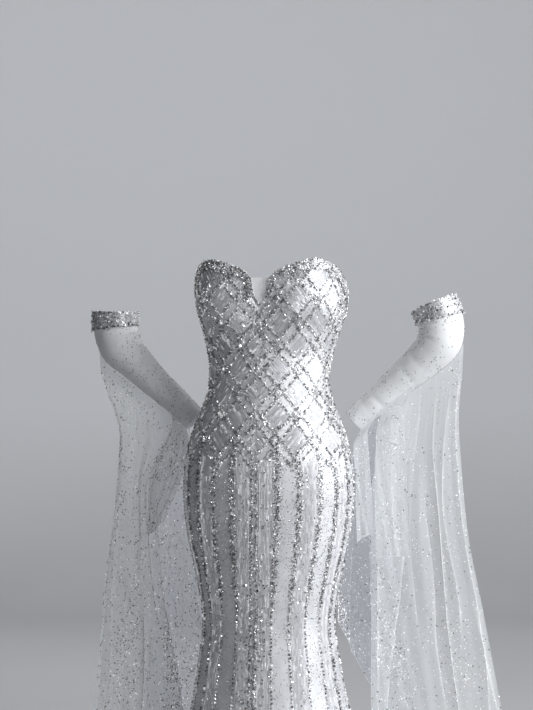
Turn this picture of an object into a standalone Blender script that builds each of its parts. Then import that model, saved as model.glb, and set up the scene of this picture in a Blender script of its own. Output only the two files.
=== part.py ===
# Strapless mermaid wedding gown with detached winged sleeves, as its cut pieces of cloth.
# Metres, +Z up. The gown faces -Y; left is the wearer's left, at +X.
# The origin is the centre of the waist, where the wearer holds the gown up.

from collections import namedtuple
from math import atan2, ceil, cos, exp, hypot, pi, radians, sin

import bmesh
import bpy
from mathutils import Vector

# ---------------------------------------------------------------- driving dimensions
HEM_Z = -1.100              # floor-length level hem, below the waist
GORE_WALL = 0.0015          # beaded gown cloth
NET_WALL = 0.0010           # tulle of the sleeves, wings and notch
TRIM_WALL = 0.0020          # crystal trim of the neckline
CUFF_WALL = 0.0024          # crystal cuffs
SEAM_GAP = 0.0004           # left between neighbouring pieces
TRIM_WIDTH = 0.017          # neckline trim, from its top edge down
TRIM_NARROW = 0.005         # its width at centre front, beside the notch
TRIM_FULL_ANGLE = 28.0      # degrees from centre front at which it reaches its full width
TRIM_RISE = 0.0010          # the trim stands this far over the gores' edge
TRIM_LIFT = 0.0014          # and this far off them
BUST_RADIUS = 0.125         # mean radius of the neckline, for laying the trim off flat
CUFF_HEIGHT = 0.034
ARM_Y = 0.070               # the forearms lie in one upright plane behind the waist's centre
NOTCH_TOP_Z = 0.192         # straight upper edge of the net in the notch
NOTCH_FOOT_ANGLE = 5.6      # the notch's steep sides, foot and head, in degrees from centre front
NOTCH_HEAD_ANGLE = 7.5
NOTCH_BEND_ANGLE = 2.6      # the notch's bottom is rounded off as far as this
NOTCH_COLUMNS = (-1.0, -0.49, 0.0, 0.49, 1.0)       # shares of the notch's half width
NOTCH_ROWS = (0.0, 0.35, 0.7, 1.0)                  # shares of its height

# Sections of the gown, from the hem up: half width at the sides, depth in front of and
# behind the section's own centre, that centre's y, and the section's turn in degrees.
Ring = namedtuple("Ring", "z half_width front back centre_y turn")
GOWN_RINGS = (
    Ring(-1.100, 0.300, 0.280, 0.320, 0.030, 0.0),
    Ring(-0.920, 0.236, 0.214, 0.246, 0.025, 2.0),
    Ring(-0.780, 0.188, 0.166, 0.186, 0.019, 3.0),
    Ring(-0.660, 0.156, 0.132, 0.140, 0.013, 3.0),
    Ring(-0.570, 0.141, 0.114, 0.113, 0.006, 3.0),
    Ring(-0.490, 0.132, 0.104, 0.099, 0.002, 3.0),
    Ring(-0.410, 0.143, 0.106, 0.103, 0.000, 2.0),
    Ring(-0.330, 0.160, 0.111, 0.112, -0.002, 1.0),
    Ring(-0.260, 0.169, 0.114, 0.124, -0.002, 0.0),
    Ring(-0.200, 0.169, 0.113, 0.128, -0.003, 0.0),
    Ring(-0.140, 0.160, 0.108, 0.120, -0.002, 0.0),
    Ring(-0.090, 0.143, 0.100, 0.106, 0.000, 0.0),
    Ring(-0.040, 0.124, 0.091, 0.094, 0.002, 0.0),
    Ring(0.000, 0.119, 0.087, 0.088, 0.004, 0.0),
    Ring(0.040, 0.124, 0.090, 0.088, 0.014, 0.0),
    Ring(0.090, 0.137, 0.098, 0.091, 0.024, -1.0),
    Ring(0.130, 0.148, 0.104, 0.094, 0.028, -1.0),
    Ring(0.170, 0.151, 0.105, 0.095, 0.027, -2.0),
    Ring(0.240, 0.146, 0.098, 0.092, 0.026, -2.0),
)

# The gown's upper edge, by angle from centre front: notch, cup, underarm, low back.
Neck = namedtuple("Neck", "angle z")
NECKLINE = (
    Neck(0.0, 0.141),
    Neck(NOTCH_BEND_ANGLE, 0.149),
    Neck(NOTCH_FOOT_ANGLE, 0.161),
    Neck(NOTCH_HEAD_ANGLE, 0.190),
    Neck(12.0, 0.203),
    Neck(18.0, 0.211),
    Neck(25.0, 0.217),
    Neck(33.0, 0.223),
    Neck(42.0, 0.227),
    Neck(51.0, 0.223),
    Neck(60.0, 0.214),
    Neck(70.0, 0.202),
    Neck(80.0, 0.186),
    Neck(90.0, 0.165),
    Neck(100.0, 0.143),
    Neck(112.0, 0.127),
    Neck(126.0, 0.119),
    Neck(144.0, 0.115),
    Neck(162.0, 0.114),
    Neck(180.0, 0.114),
)

# Two cups shaped by the princess seams.
CUP_DEPTH = 0.028
CUP_ANGLE = 37.0
CUP_SPREAD = 25.0           # degrees either side of the cup's middle
CUP_Z = 0.142
CUP_DROP = 0.060            # fade below and above the cup's middle
CUP_RISE = 0.090

# Soft flutes of the flared skirt: where each ridge is, its spread, and how far it stands
# out at the hem as a share of the section. Left uneven, as cloth hangs.
Flute = namedtuple("Flute", "angle spread depth")
FLUTES = (
    Flute(-163.0, 13.0, 0.070),
    Flute(-128.0, 12.0, 0.085),
    Flute(-91.0, 14.0, 0.060),
    Flute(-55.0, 12.0, 0.080),
    Flute(-20.0, 13.0, 0.065),
    Flute(17.0, 12.0, 0.075),
    Flute(52.0, 14.0, 0.070),
    Flute(90.0, 12.0, 0.080),
    Flute(124.0, 13.0, 0.065),
    Flute(160.0, 12.0, 0.085),
)
FLUTE_TOP_Z = -0.58         # the flutes die out here, below the knee

# Gores: the angles of their columns, from one seam to the next.
Gore = namedtuple("Gore", "name angles")
FRONT_ANGLES = (0.0, NOTCH_BEND_ANGLE, NOTCH_FOOT_ANGLE, NOTCH_HEAD_ANGLE, 12.0, 18.0, 25.0, 31.0, 37.0)
SIDE_FRONT_ANGLES = (37.0, 44.5, 52.0, 60.0, 67.5, 75.0, 82.5, 90.0)
SIDE_BACK_ANGLES = (90.0, 98.0, 106.0, 115.0, 124.0, 133.0, 141.0)
BACK_ANGLES = (141.0, 149.0, 157.0, 165.0, 173.0, 180.0)

# Rows of a gore below the bust, then shares of the way from there up to the neckline.
GORE_HEIGHTS = (HEM_Z, -0.985, -0.870, -0.760, -0.660, -0.570, -0.490, -0.410,
                -0.330, -0.260, -0.190, -0.130, -0.080, -0.035, 0.005, 0.045)
GORE_TOP_SHARES = (0.25, 0.50, 0.75, 1.0)

# Centre line of each forearm sleeve from over the elbow to the wrist: distance from the
# middle plane, height and radius.
Arm = namedtuple("Arm", "share out z radius")
FOREARMS = {
    "left": (
        Arm(0.00, 0.322, 0.144, 0.0430),
        Arm(0.13, 0.336, 0.108, 0.0450),
        Arm(0.26, 0.334, 0.070, 0.0450),
        Arm(0.42, 0.304, 0.033, 0.0375),
        Arm(0.61, 0.258, -0.007, 0.0310),
        Arm(0.80, 0.210, -0.049, 0.0268),
        Arm(1.00, 0.162, -0.092, 0.0240),
    ),
    "right": (
        Arm(0.00, 0.344, 0.130, 0.0435),
        Arm(0.13, 0.344, 0.095, 0.0450),
        Arm(0.26, 0.333, 0.059, 0.0450),
        Arm(0.42, 0.303, 0.026, 0.0375),
        Arm(0.61, 0.263, -0.012, 0.0315),
        Arm(0.80, 0.218, -0.051, 0.0275),
        Arm(1.00, 0.171, -0.094, 0.0245),
    ),
}
SLEEVE_SIDES = 12
SLEEVE_ROWS = 8
CUFF_SIDES = 20
CUFF_RINGS = (0.02, 0.5, 1.0)                       # shares of the cuff's height

# Hanging layers of net. Each is sewn along the forearm between two shares of its length, at a
# roll round it (0 is underneath, + towards the front). Its hem runs from hem_outer to
# hem_inner. The drop table gives its two side edges and its middle plane at each height.
Drop = namedtuple("Drop", "z outer inner y")
Fold = namedtuple("Fold", "at spread depth")
Layer = namedtuple("Layer", "name side start end roll hem_outer hem_inner columns rows drops folds")
LAYERS = (
    Layer("wing_left", "left", 0.24, 0.80, 0.0, HEM_Z + 0.004, HEM_Z + 0.004, 24, 8, (
        Drop(HEM_Z, 0.530, 0.215, 0.090),
        Drop(-0.88, 0.500, 0.200, 0.086),
        Drop(-0.67, 0.458, 0.193, 0.082),
        Drop(-0.45, 0.416, 0.194, 0.080),
        Drop(-0.33, 0.392, 0.194, 0.079),
        Drop(-0.20, 0.378, 0.196, 0.078),
        Drop(-0.05, 0.370, 0.222, 0.075),
        Drop(0.05, 0.376, 0.240, 0.072),
    ), (
        Fold(0.06, 0.045, -0.016), Fold(0.17, 0.050, 0.014), Fold(0.30, 0.060, -0.018),
        Fold(0.43, 0.045, 0.016), Fold(0.55, 0.050, -0.014), Fold(0.69, 0.050, 0.017),
        Fold(0.82, 0.050, -0.010), Fold(0.94, 0.040, 0.012),
    )),
    Layer("wing_right", "right", 0.24, 0.97, 0.0, HEM_Z + 0.004, HEM_Z + 0.004, 24, 8, (
        Drop(HEM_Z, 0.470, 0.190, 0.090),
        Drop(-0.88, 0.432, 0.190, 0.086),
        Drop(-0.67, 0.394, 0.203, 0.082),
        Drop(-0.45, 0.374, 0.242, 0.080),
        Drop(-0.33, 0.358, 0.256, 0.079),
        Drop(-0.20, 0.343, 0.269, 0.078),
        Drop(-0.05, 0.340, 0.235, 0.075),
        Drop(0.05, 0.376, 0.200, 0.072),
    ), (
        Fold(0.05, 0.045, 0.014), Fold(0.17, 0.050, -0.016), Fold(0.31, 0.055, 0.015),
        Fold(0.45, 0.045, -0.015), Fold(0.58, 0.055, 0.017), Fold(0.72, 0.045, -0.012),
        Fold(0.86, 0.050, 0.014),
    )),
    Layer("wing_back_left", "left", 0.66, 0.96, -55.0, -0.700, -0.505, 12, 7, (
        Drop(-0.70, 0.265, 0.116, 0.126),
        Drop(-0.35, 0.258, 0.120, 0.126),
        Drop(-0.05, 0.240, 0.170, 0.100),
    ), (
        Fold(0.20, 0.10, 0.006), Fold(0.50, 0.12, -0.006), Fold(0.80, 0.10, 0.005),
    )),
    Layer("wing_back_right", "right", 0.66, 0.96, -55.0, HEM_Z + 0.004, HEM_Z + 0.004, 12, 8, (
        Drop(HEM_Z, 0.340, 0.150, 0.150),
        Drop(-0.70, 0.300, 0.130, 0.132),
        Drop(-0.35, 0.280, 0.128, 0.126),
        Drop(-0.05, 0.240, 0.170, 0.100),
    ), (
        Fold(0.20, 0.10, -0.006), Fold(0.48, 0.12, 0.006), Fold(0.80, 0.10, -0.005),
    )),
    Layer("wrist_flounce_left", "left", 0.86, 0.99, 38.0, -0.318, -0.334, 8, 5, (
        Drop(-0.34, 0.209, 0.172, 0.040),
        Drop(-0.20, 0.200, 0.168, 0.040),
        Drop(-0.08, 0.190, 0.160, 0.046),
    ), (
        Fold(0.25, 0.13, -0.004), Fold(0.65, 0.13, 0.004),
    )),
    Layer("wrist_flounce_right", "right", 0.84, 0.99, 38.0, -0.330, -0.300, 8, 5, (
        Drop(-0.33, 0.264, 0.245, 0.042),
        Drop(-0.20, 0.259, 0.190, 0.042),
        Drop(-0.12, 0.220, 0.175, 0.044),
        Drop(-0.08, 0.200, 0.172, 0.046),
    ), (
        Fold(0.25, 0.13, 0.004), Fold(0.70, 0.13, -0.004),
    )),
    Layer("forearm_flounce_left", "left", 0.58, 0.82, 38.0, -0.360, -0.366, 8, 5, (
        Drop(-0.37, 0.278, 0.211, 0.035),
        Drop(-0.20, 0.274, 0.210, 0.035),
        Drop(-0.02, 0.262, 0.214, 0.041),
    ), (
        Fold(0.20, 0.12, 0.005), Fold(0.55, 0.12, -0.005), Fold(0.88, 0.10, 0.004),
    )),
)
SEAM_STANDOFF = 0.0012      # a layer's upper edge hangs this far off the sleeve
FOLD_SETTLE = 0.16          # folds and side edges reach their shape this far down the drop
FOLD_AT_SEAM = 0.6          # a fold's depth at the seam, as a share of its own
FOLD_GROWTH = 0.6           # and the share it gains on the way down to the hem
ROW_CROWDING = 1.25         # rows stand closer together near the seam
BODY_CLEARANCE = 0.009      # the layers hang clear of the gown

# Concealed zip at centre back.
SLIDER_SIZE = (0.0062, 0.0028, 0.0095)      # across, out, up
SLIDER_Z = 0.1060
SLIDER_STANDOFF = 0.0006
LUG_REACH = 0.0024          # the two lugs stand out of the slider by this
LUG_HEIGHT = 0.0032
LUG_SLOT = 0.0030
HINGE_RADIUS = 0.0009       # rolled eye of the pull tab, between the lugs
TAB_THICKNESS = 0.0010
TAB_LENGTH = 0.0230
TAB_NECK_WIDTH = 0.0022
TAB_WIDTH = 0.0066
TAB_NECK_LENGTH = 0.0045

# Finish of each kind of piece: colour, roughness, metallic.
FINISHES = {
    "beaded_cloth": ((0.66, 0.67, 0.70), 0.35, 0.25),
    "net": ((0.86, 0.88, 0.89), 0.60, 0.0),
    "crystal_trim": ((0.72, 0.73, 0.75), 0.20, 0.55),
    "metal": ((0.78, 0.78, 0.80), 0.25, 1.0),
}


# ---------------------------------------------------------------- tables and curves
def column_at(table, column, at):
    """Smooth value of a table's column where its first column reaches `at`."""
    places = [row[0] for row in table]
    values = [getattr(row, column) for row in table]
    at = min(max(at, places[0]), places[-1])
    k = max(i for i in range(len(places) - 1) if places[i] <= at)
    slopes = []
    for i in (k, k + 1):
        low, high = max(i - 1, 0), min(i + 1, len(places) - 1)
        slopes.append((values[high] - values[low]) / (places[high] - places[low]))
    span = places[k + 1] - places[k]
    t = (at - places[k]) / span
    return ((2 * t**3 - 3 * t**2 + 1) * values[k] + (t**3 - 2 * t**2 + t) * span * slopes[0]
            + (3 * t**2 - 2 * t**3) * values[k + 1] + (t**3 - t**2) * span * slopes[1])


def straight_at(table, column, at):
    """The same, in straight lines between the rows."""
    places = [row[0] for row in table]
    values = [getattr(row, column) for row in table]
    at = min(max(at, places[0]), places[-1])
    k = max(i for i in range(len(places) - 1) if places[i] <= at)
    return values[k] + (values[k + 1] - values[k]) * (at - places[k]) / (places[k + 1] - places[k])


def ease(t):
    t = min(max(t, 0.0), 1.0)
    return t * t * (3 - 2 * t)


def bump(distance, spread):
    return exp(-(distance / spread) ** 2)


# ---------------------------------------------------------------- the gown's surface
def cup_bulge(angle, z):
    fade = bump(z - CUP_Z, CUP_RISE if z > CUP_Z else CUP_DROP)
    return CUP_DEPTH * fade * bump(abs(angle) - CUP_ANGLE, CUP_SPREAD)


def flute_swell(angle, z):
    growth = ease((FLUTE_TOP_Z - z) / (FLUTE_TOP_Z - HEM_Z))
    around = ((angle - f.angle + 180.0) % 360.0 - 180.0 for f in FLUTES)
    return growth * sum(f.depth * bump(away, f.spread) for away, f in zip(around, FLUTES))


def gown_point(angle, z):
    """Middle of the gown's cloth at an angle from centre front (+ to the left) and a height."""
    turn = radians(column_at(GOWN_RINGS, "turn", z))
    depth = column_at(GOWN_RINGS, "front" if cos(radians(angle)) > 0 else "back", z)
    x = column_at(GOWN_RINGS, "half_width", z) * sin(radians(angle))
    y = -depth * cos(radians(angle))
    swell = 1.0 + flute_swell(angle, z) + cup_bulge(angle, z) / hypot(x, y)
    x, y = x * swell, y * swell
    centre_y = column_at(GOWN_RINGS, "centre_y", z)
    return Vector((x * cos(turn) + y * sin(turn), centre_y + y * cos(turn) - x * sin(turn), z))


def gown_normal(angle, z):
    """Outward direction of the gown's surface."""
    step_angle, step_z = 0.5, 0.002
    across = gown_point(angle + step_angle, z) - gown_point(angle - step_angle, z)
    up = gown_point(angle, z + step_z) - gown_point(angle, z - step_z)
    return across.cross(up).normalized()


def off_gown(angle, z, distance):
    return gown_point(angle, z) + gown_normal(angle, z) * distance


def neck_z(angle):
    return straight_at(NECKLINE, "z", abs(angle))


def clear_of_gown(point):
    """The point, moved out if need be so that it hangs clear of the gown."""
    centre_y = column_at(GOWN_RINGS, "centre_y", point.z)
    out = Vector((point.x, point.y - centre_y, 0.0))
    width = column_at(GOWN_RINGS, "half_width", point.z)
    depth = column_at(GOWN_RINGS, "front" if out.y < 0 else "back", point.z)
    angle = atan2(out.x / width, -out.y / depth) * 180.0 / pi
    wall = gown_point(angle, point.z) - Vector((0.0, centre_y, point.z))
    least = wall.length + BODY_CLEARANCE
    if out.length >= least:
        return point
    return Vector((0.0, centre_y, point.z)) + out.normalized() * least


# ---------------------------------------------------------------- making pieces
def finish_material(name, finish):
    colour, roughness, metallic = FINISHES[finish]
    material = bpy.data.materials.new(name)
    material.use_nodes = True
    shader = material.node_tree.nodes["Principled BSDF"]
    shader.inputs["Base Color"].default_value = (*colour, 1.0)
    shader.inputs["Roughness"].default_value = roughness
    shader.inputs["Metallic"].default_value = metallic
    return material


def add_piece(name, mesh, finish, collection):
    piece = bpy.data.objects.new(name, mesh)
    mesh.materials.append(finish_material(name, finish))
    collection.objects.link(piece)
    return piece


def cloth(name, grid, wall, finish, collection, tube=False):
    """A wall of cloth through a grid of points: rows of columns, joined round if a tube."""
    rows, columns = len(grid), len(grid[0])
    around = columns if tube else columns - 1
    corners = [point for row in grid for point in row]
    faces = [(r * columns + c, r * columns + (c + 1) % columns,
              (r + 1) * columns + (c + 1) % columns, (r + 1) * columns + c)
             for r in range(rows - 1) for c in range(around)]
    mesh = bpy.data.meshes.new(name)
    mesh.from_pydata(corners, [], faces)
    mesh.shade_smooth()
    piece = add_piece(name, mesh, finish, collection)
    shell = piece.modifiers.new("wall", "SOLIDIFY")
    shell.thickness = wall
    shell.offset = 0.0
    return piece


# ---------------------------------------------------------------- the gown
def trimmed(angles, z, side):
    """A gore's angles at a height, with half a seam gap off both ends."""
    reach = hypot(*gown_point(side * angles[0], z).xy)
    gap = SEAM_GAP / 2 / reach * 180.0 / pi
    first = angles[0] if angles[0] == 0.0 else angles[0] + gap
    return [side * a for a in (first, *angles[1:-1], angles[-1] - gap)]


def gore_rows(columns_at):
    """Points of a gore, row by row up to the neckline."""
    foot = GORE_HEIGHTS[-1]
    grid = [[gown_point(a, z) for a in columns_at(z)] for z in GORE_HEIGHTS]
    for share in GORE_TOP_SHARES:
        row = []
        for angle in columns_at(foot + share * (NOTCH_TOP_Z - foot)):
            z = foot + share * (neck_z(angle) - foot)
            row.append(gown_point(angle, z))
        grid.append(row)
    return grid


def front_columns(z):
    half = trimmed(FRONT_ANGLES, z, 1)
    return [-a for a in reversed(half[1:])] + half


def build_gores(collection):
    cloth("gown_front_center", gore_rows(front_columns), GORE_WALL, "beaded_cloth", collection)
    gores = (Gore("gown_side_front", SIDE_FRONT_ANGLES), Gore("gown_side_back", SIDE_BACK_ANGLES),
             Gore("gown_back", BACK_ANGLES))
    for gore in gores:
        for name, side in (("left", 1), ("right", -1)):
            grid = gore_rows(lambda z: trimmed(gore.angles, z, side))
            cloth(f"{gore.name}_{name}", grid, GORE_WALL, "beaded_cloth", collection)


def build_notch_insert(collection):
    """Net between the notch's sides, with a straight upper edge."""
    clear_angle = 0.25      # degrees kept off the notch's sides
    grid = []
    for up in NOTCH_ROWS:
        reach = NOTCH_FOOT_ANGLE + (NOTCH_HEAD_ANGLE - NOTCH_FOOT_ANGLE) * up - clear_angle
        row = []
        for share in NOTCH_COLUMNS:
            foot = neck_z(share * (NOTCH_FOOT_ANGLE - clear_angle)) + 2 * SEAM_GAP
            row.append(gown_point(share * reach, foot + (NOTCH_TOP_Z - foot) * up))
        grid.append(row)
    cloth("notch_insert", grid, NET_WALL, "net", collection)


def neck_path(first, last):
    """Angle and height along the neckline, with extra points where its rows are far apart."""
    longest = 10.0          # degrees between two points
    path = []
    for low, high in zip(NECKLINE, NECKLINE[1:]):
        if high.angle <= first or low.angle >= last:
            continue
        steps = max(1, ceil((high.angle - low.angle) / longest))
        path += [(low.angle + (high.angle - low.angle) * i / steps,
                  low.z + (high.z - low.z) * i / steps) for i in range(steps)]
    path = [(a, z) for a, z in path if first < a < last]
    return [(first, neck_z(first)), *path, (last, neck_z(last))]


def trim_rows(path, side):
    """Upper and lower edge of the trim: its width is laid off square to the neckline."""
    widening = TRIM_WIDTH - TRIM_NARROW
    metres_per_degree = radians(BUST_RADIUS)
    off = (GORE_WALL + TRIM_WALL) / 2 + TRIM_LIFT
    flat = [Vector((a * metres_per_degree, z)) for a, z in path]
    upper, lower = [], []
    for i, point in enumerate(flat):
        ahead = flat[min(i + 1, len(flat) - 1)] - flat[max(i - 1, 0)]
        inward = Vector((ahead.y, -ahead.x)).normalized()
        top = point - inward * TRIM_RISE
        foot = point + inward * (TRIM_NARROW + widening * ease(path[i][0] / TRIM_FULL_ANGLE))
        upper.append(off_gown(side * top.x / metres_per_degree, top.y, off))
        lower.append(off_gown(side * foot.x / metres_per_degree, foot.y, off))
    return [lower, upper]


def build_neck_trim(collection):
    seam = 90.0
    part = 0.12             # half the gap between two runs of trim, in degrees
    zip_room = 2.4          # the back runs stop short of the zip, in degrees
    notch_side = 4.6        # the front runs start on the notch's slope
    for name, side in (("left", 1), ("right", -1)):
        front = trim_rows(neck_path(notch_side, seam - part), side)
        back = trim_rows(neck_path(seam + part, 180.0 - zip_room), side)
        cloth(f"neck_trim_front_{name}", front, TRIM_WALL, "crystal_trim", collection)
        cloth(f"neck_trim_back_{name}", back, TRIM_WALL, "crystal_trim", collection)


# ---------------------------------------------------------------- sleeves and wings
def arm_at(side, share):
    """Centre, outward-and-down direction, run and radius of a forearm sleeve."""
    table = FOREARMS[side]
    sign = 1 if side == "left" else -1

    def centre(s):
        return Vector((sign * column_at(table, "out", s), ARM_Y, column_at(table, "z", s)))

    step = 0.01
    run = (centre(min(share + step, 1.0)) - centre(max(share - step, 0.0))).normalized()
    under = run.cross(Vector((0, 1, 0))).normalized() * sign
    if under.x * sign < 0:
        under = -under
    return centre(share), under, run, column_at(table, "radius", share)


def sleeve_ring(side, share, off, count):
    centre, under, _, radius = arm_at(side, share)
    front = Vector((0, -1, 0))
    turns = [2 * pi * i / count for i in range(count)]
    return [centre + (under * cos(t) + front * sin(t)) * (radius + off) for t in turns]


def build_sleeves(collection):
    for side in ("left", "right"):
        shares = [i / SLEEVE_ROWS for i in range(SLEEVE_ROWS + 1)]
        grid = [sleeve_ring(side, s, 0.0, SLEEVE_SIDES) for s in shares]
        cloth(f"sleeve_{side}", grid, NET_WALL, "net", collection, tube=True)

        top, foot = FOREARMS[side][0], FOREARMS[side][1]
        cuff_share = foot.share * CUFF_HEIGHT / hypot(top.out - foot.out, top.z - foot.z)
        sagitta = top.radius * (1 / cos(pi / SLEEVE_SIDES) - 1)
        off = (NET_WALL + CUFF_WALL) / 2 + SEAM_GAP + sagitta
        rings = [sleeve_ring(side, s * cuff_share, off, CUFF_SIDES) for s in CUFF_RINGS]
        cloth(f"sleeve_cuff_{side}", rings, CUFF_WALL, "crystal_trim", collection, tube=True)


def seam_point(side, share, roll):
    centre, under, _, radius = arm_at(side, share)
    reach = radius + (NET_WALL + NET_WALL) / 2 + SEAM_STANDOFF
    turned = under * cos(radians(roll)) + Vector((0, -1, 0)) * sin(radians(roll))
    return centre + turned * reach


def layer_point(layer, across, down):
    """Point of a hanging layer: across from its elbow side (0) to its wrist side (1)."""
    sign = 1 if layer.side == "left" else -1
    top = seam_point(layer.side, layer.start + (layer.end - layer.start) * across, layer.roll)
    hem = layer.hem_inner + (layer.hem_outer - layer.hem_inner) * cos(across * pi / 2)
    z = top.z + (hem - top.z) * down
    outer, inner = column_at(layer.drops, "outer", z), column_at(layer.drops, "inner", z)
    x = sign * (outer + (inner - outer) * across)
    settle = ease(down / FOLD_SETTLE)
    fold = sum(f.depth * bump(across - f.at, f.spread) for f in layer.folds)
    y = column_at(layer.drops, "y", z) + fold * (FOLD_AT_SEAM + FOLD_GROWTH * down)
    point = Vector((top.x + (x - top.x) * settle, top.y + (y - top.y) * settle, z))
    return clear_of_gown(point)


def build_layers(collection):
    for layer in LAYERS:
        downs = [(i / layer.rows) ** ROW_CROWDING for i in range(layer.rows + 1)]
        grid = [[layer_point(layer, c / layer.columns, d) for c in range(layer.columns + 1)]
                for d in downs]
        cloth(layer.name, grid, NET_WALL, "net", collection)


# ---------------------------------------------------------------- the zip
def add_block(bm, size, centre):
    made = bmesh.ops.create_cube(bm, size=1.0)["verts"]
    bmesh.ops.scale(bm, vec=size, verts=made)
    bmesh.ops.translate(bm, vec=centre, verts=made)


def hinge_place():
    """Middle of the pull tab's eye, and the y of the slider's inner face."""
    _, out, height = SLIDER_SIZE
    inner = max(gown_point(180.0, SLIDER_Z + up).y for up in (-height / 2, 0.0, height / 2))
    inner += GORE_WALL / 2 + SLIDER_STANDOFF
    return Vector((0.0, inner + out + LUG_REACH / 2, SLIDER_Z + height / 2 - LUG_HEIGHT / 2)), inner


def build_slider(collection, cutters):
    """Slider block with two lugs: the lug bar is one block with a slot cut through it."""
    width, out, height = SLIDER_SIZE
    hinge, inner = hinge_place()
    overlap = 0.0006        # the lug bar reaches into the block, for the union
    bm = bmesh.new()
    add_block(bm, (width, out, height), (0.0, inner + out / 2, SLIDER_Z))
    mesh = bpy.data.meshes.new("zip_slider")
    bm.to_mesh(mesh)
    slider = add_piece("zip_slider", mesh, "metal", collection)

    bm = bmesh.new()
    bar_out = LUG_REACH + overlap
    add_block(bm, (width, bar_out, LUG_HEIGHT),
              (0.0, hinge.y + LUG_REACH / 2 - bar_out / 2, hinge.z))
    bar_mesh = bpy.data.meshes.new("zip_slider_lug_bar")
    bm.to_mesh(bar_mesh)
    bar = bpy.data.objects.new("zip_slider_lug_bar", bar_mesh)

    bm = bmesh.new()
    past = 0.001            # the slot's cutter runs this far past the lugs
    slot_out = LUG_REACH + past
    add_block(bm, (LUG_SLOT, slot_out, LUG_HEIGHT + 2 * past),
              (0.0, hinge.y - LUG_REACH / 2 + slot_out / 2, hinge.z))
    slot_mesh = bpy.data.meshes.new("zip_slider_slot")
    bm.to_mesh(slot_mesh)
    slot = bpy.data.objects.new("zip_slider_slot", slot_mesh)

    for helper, operation in ((bar, "UNION"), (slot, "DIFFERENCE")):
        cutters.objects.link(helper)
        helper.hide_render = True
        helper.display_type = "WIRE"
        cut = slider.modifiers.new(helper.name, "BOOLEAN")
        cut.operation = operation
        cut.object = helper


def tab_outline():
    """Half outline of the teardrop tab, from its rounded foot up: half width and drop."""
    foot_radius = TAB_WIDTH / 2
    turns = [radians(a) for a in range(-90, 31, 20)]
    foot = [(foot_radius * cos(t), TAB_LENGTH - foot_radius - foot_radius * sin(t)) for t in turns]
    return foot + [(TAB_NECK_WIDTH / 2, TAB_NECK_LENGTH), (TAB_NECK_WIDTH / 2, 0.0)]


def build_pull_tab(collection):
    """Flat teardrop hung from its rolled eye; its origin is on the hinge axis."""
    hinge, _ = hinge_place()
    half = tab_outline()
    outline = [(w, -d) for w, d in half] + [(-w, -d) for w, d in reversed(half[1:])]
    bm = bmesh.new()
    front = [bm.verts.new((x, -TAB_THICKNESS / 2, z)) for x, z in outline]
    face = bm.faces.new(front)
    made = bmesh.ops.extrude_face_region(bm, geom=[face])["geom"]
    moved = [v for v in made if isinstance(v, bmesh.types.BMVert)]
    bmesh.ops.translate(bm, vec=(0.0, TAB_THICKNESS, 0.0), verts=moved)
    bmesh.ops.recalc_face_normals(bm, faces=bm.faces[:])
    mesh = bpy.data.meshes.new("zip_pull_tab")
    bm.to_mesh(mesh)
    tab = add_piece("zip_pull_tab", mesh, "metal", collection)
    tab.location = hinge
    return tab


def build_tab_eye(tab, cutters):
    """The rolled eye joins the plate in one body."""
    bm = bmesh.new()
    bmesh.ops.create_cone(bm, cap_ends=True, segments=16, radius1=HINGE_RADIUS,
                          radius2=HINGE_RADIUS, depth=TAB_NECK_WIDTH)
    for vert in bm.verts:
        vert.co = Vector((vert.co.z, vert.co.x, vert.co.y))
    mesh = bpy.data.meshes.new("zip_pull_tab_eye")
    bm.to_mesh(mesh)
    eye = bpy.data.objects.new("zip_pull_tab_eye", mesh)
    eye.location = tab.location
    eye.hide_render = True
    eye.display_type = "WIRE"
    cutters.objects.link(eye)
    join = tab.modifiers.new("eye", "BOOLEAN")
    join.operation = "UNION"
    join.object = eye


# ---------------------------------------------------------------- the whole dress
def clear_scene():
    for thing in list(bpy.data.objects):
        bpy.data.objects.remove(thing, do_unlink=True)


def new_collection(name):
    collection = bpy.data.collections.new(name)
    bpy.context.scene.collection.children.link(collection)
    return collection


def main():
    clear_scene()
    dress = new_collection("mermaid_wedding_dress")
    cutters = new_collection("cutters")
    build_gores(dress)
    build_notch_insert(dress)
    build_neck_trim(dress)
    build_sleeves(dress)
    build_layers(dress)
    build_slider(dress, cutters)
    build_tab_eye(build_pull_tab(dress), cutters)


main()
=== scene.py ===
# Strapless mermaid wedding gown with detached winged sleeves, beaded all over.
# Metres, +Z up. The gown faces -Y and the wearer's left is at +X.

import math

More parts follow.
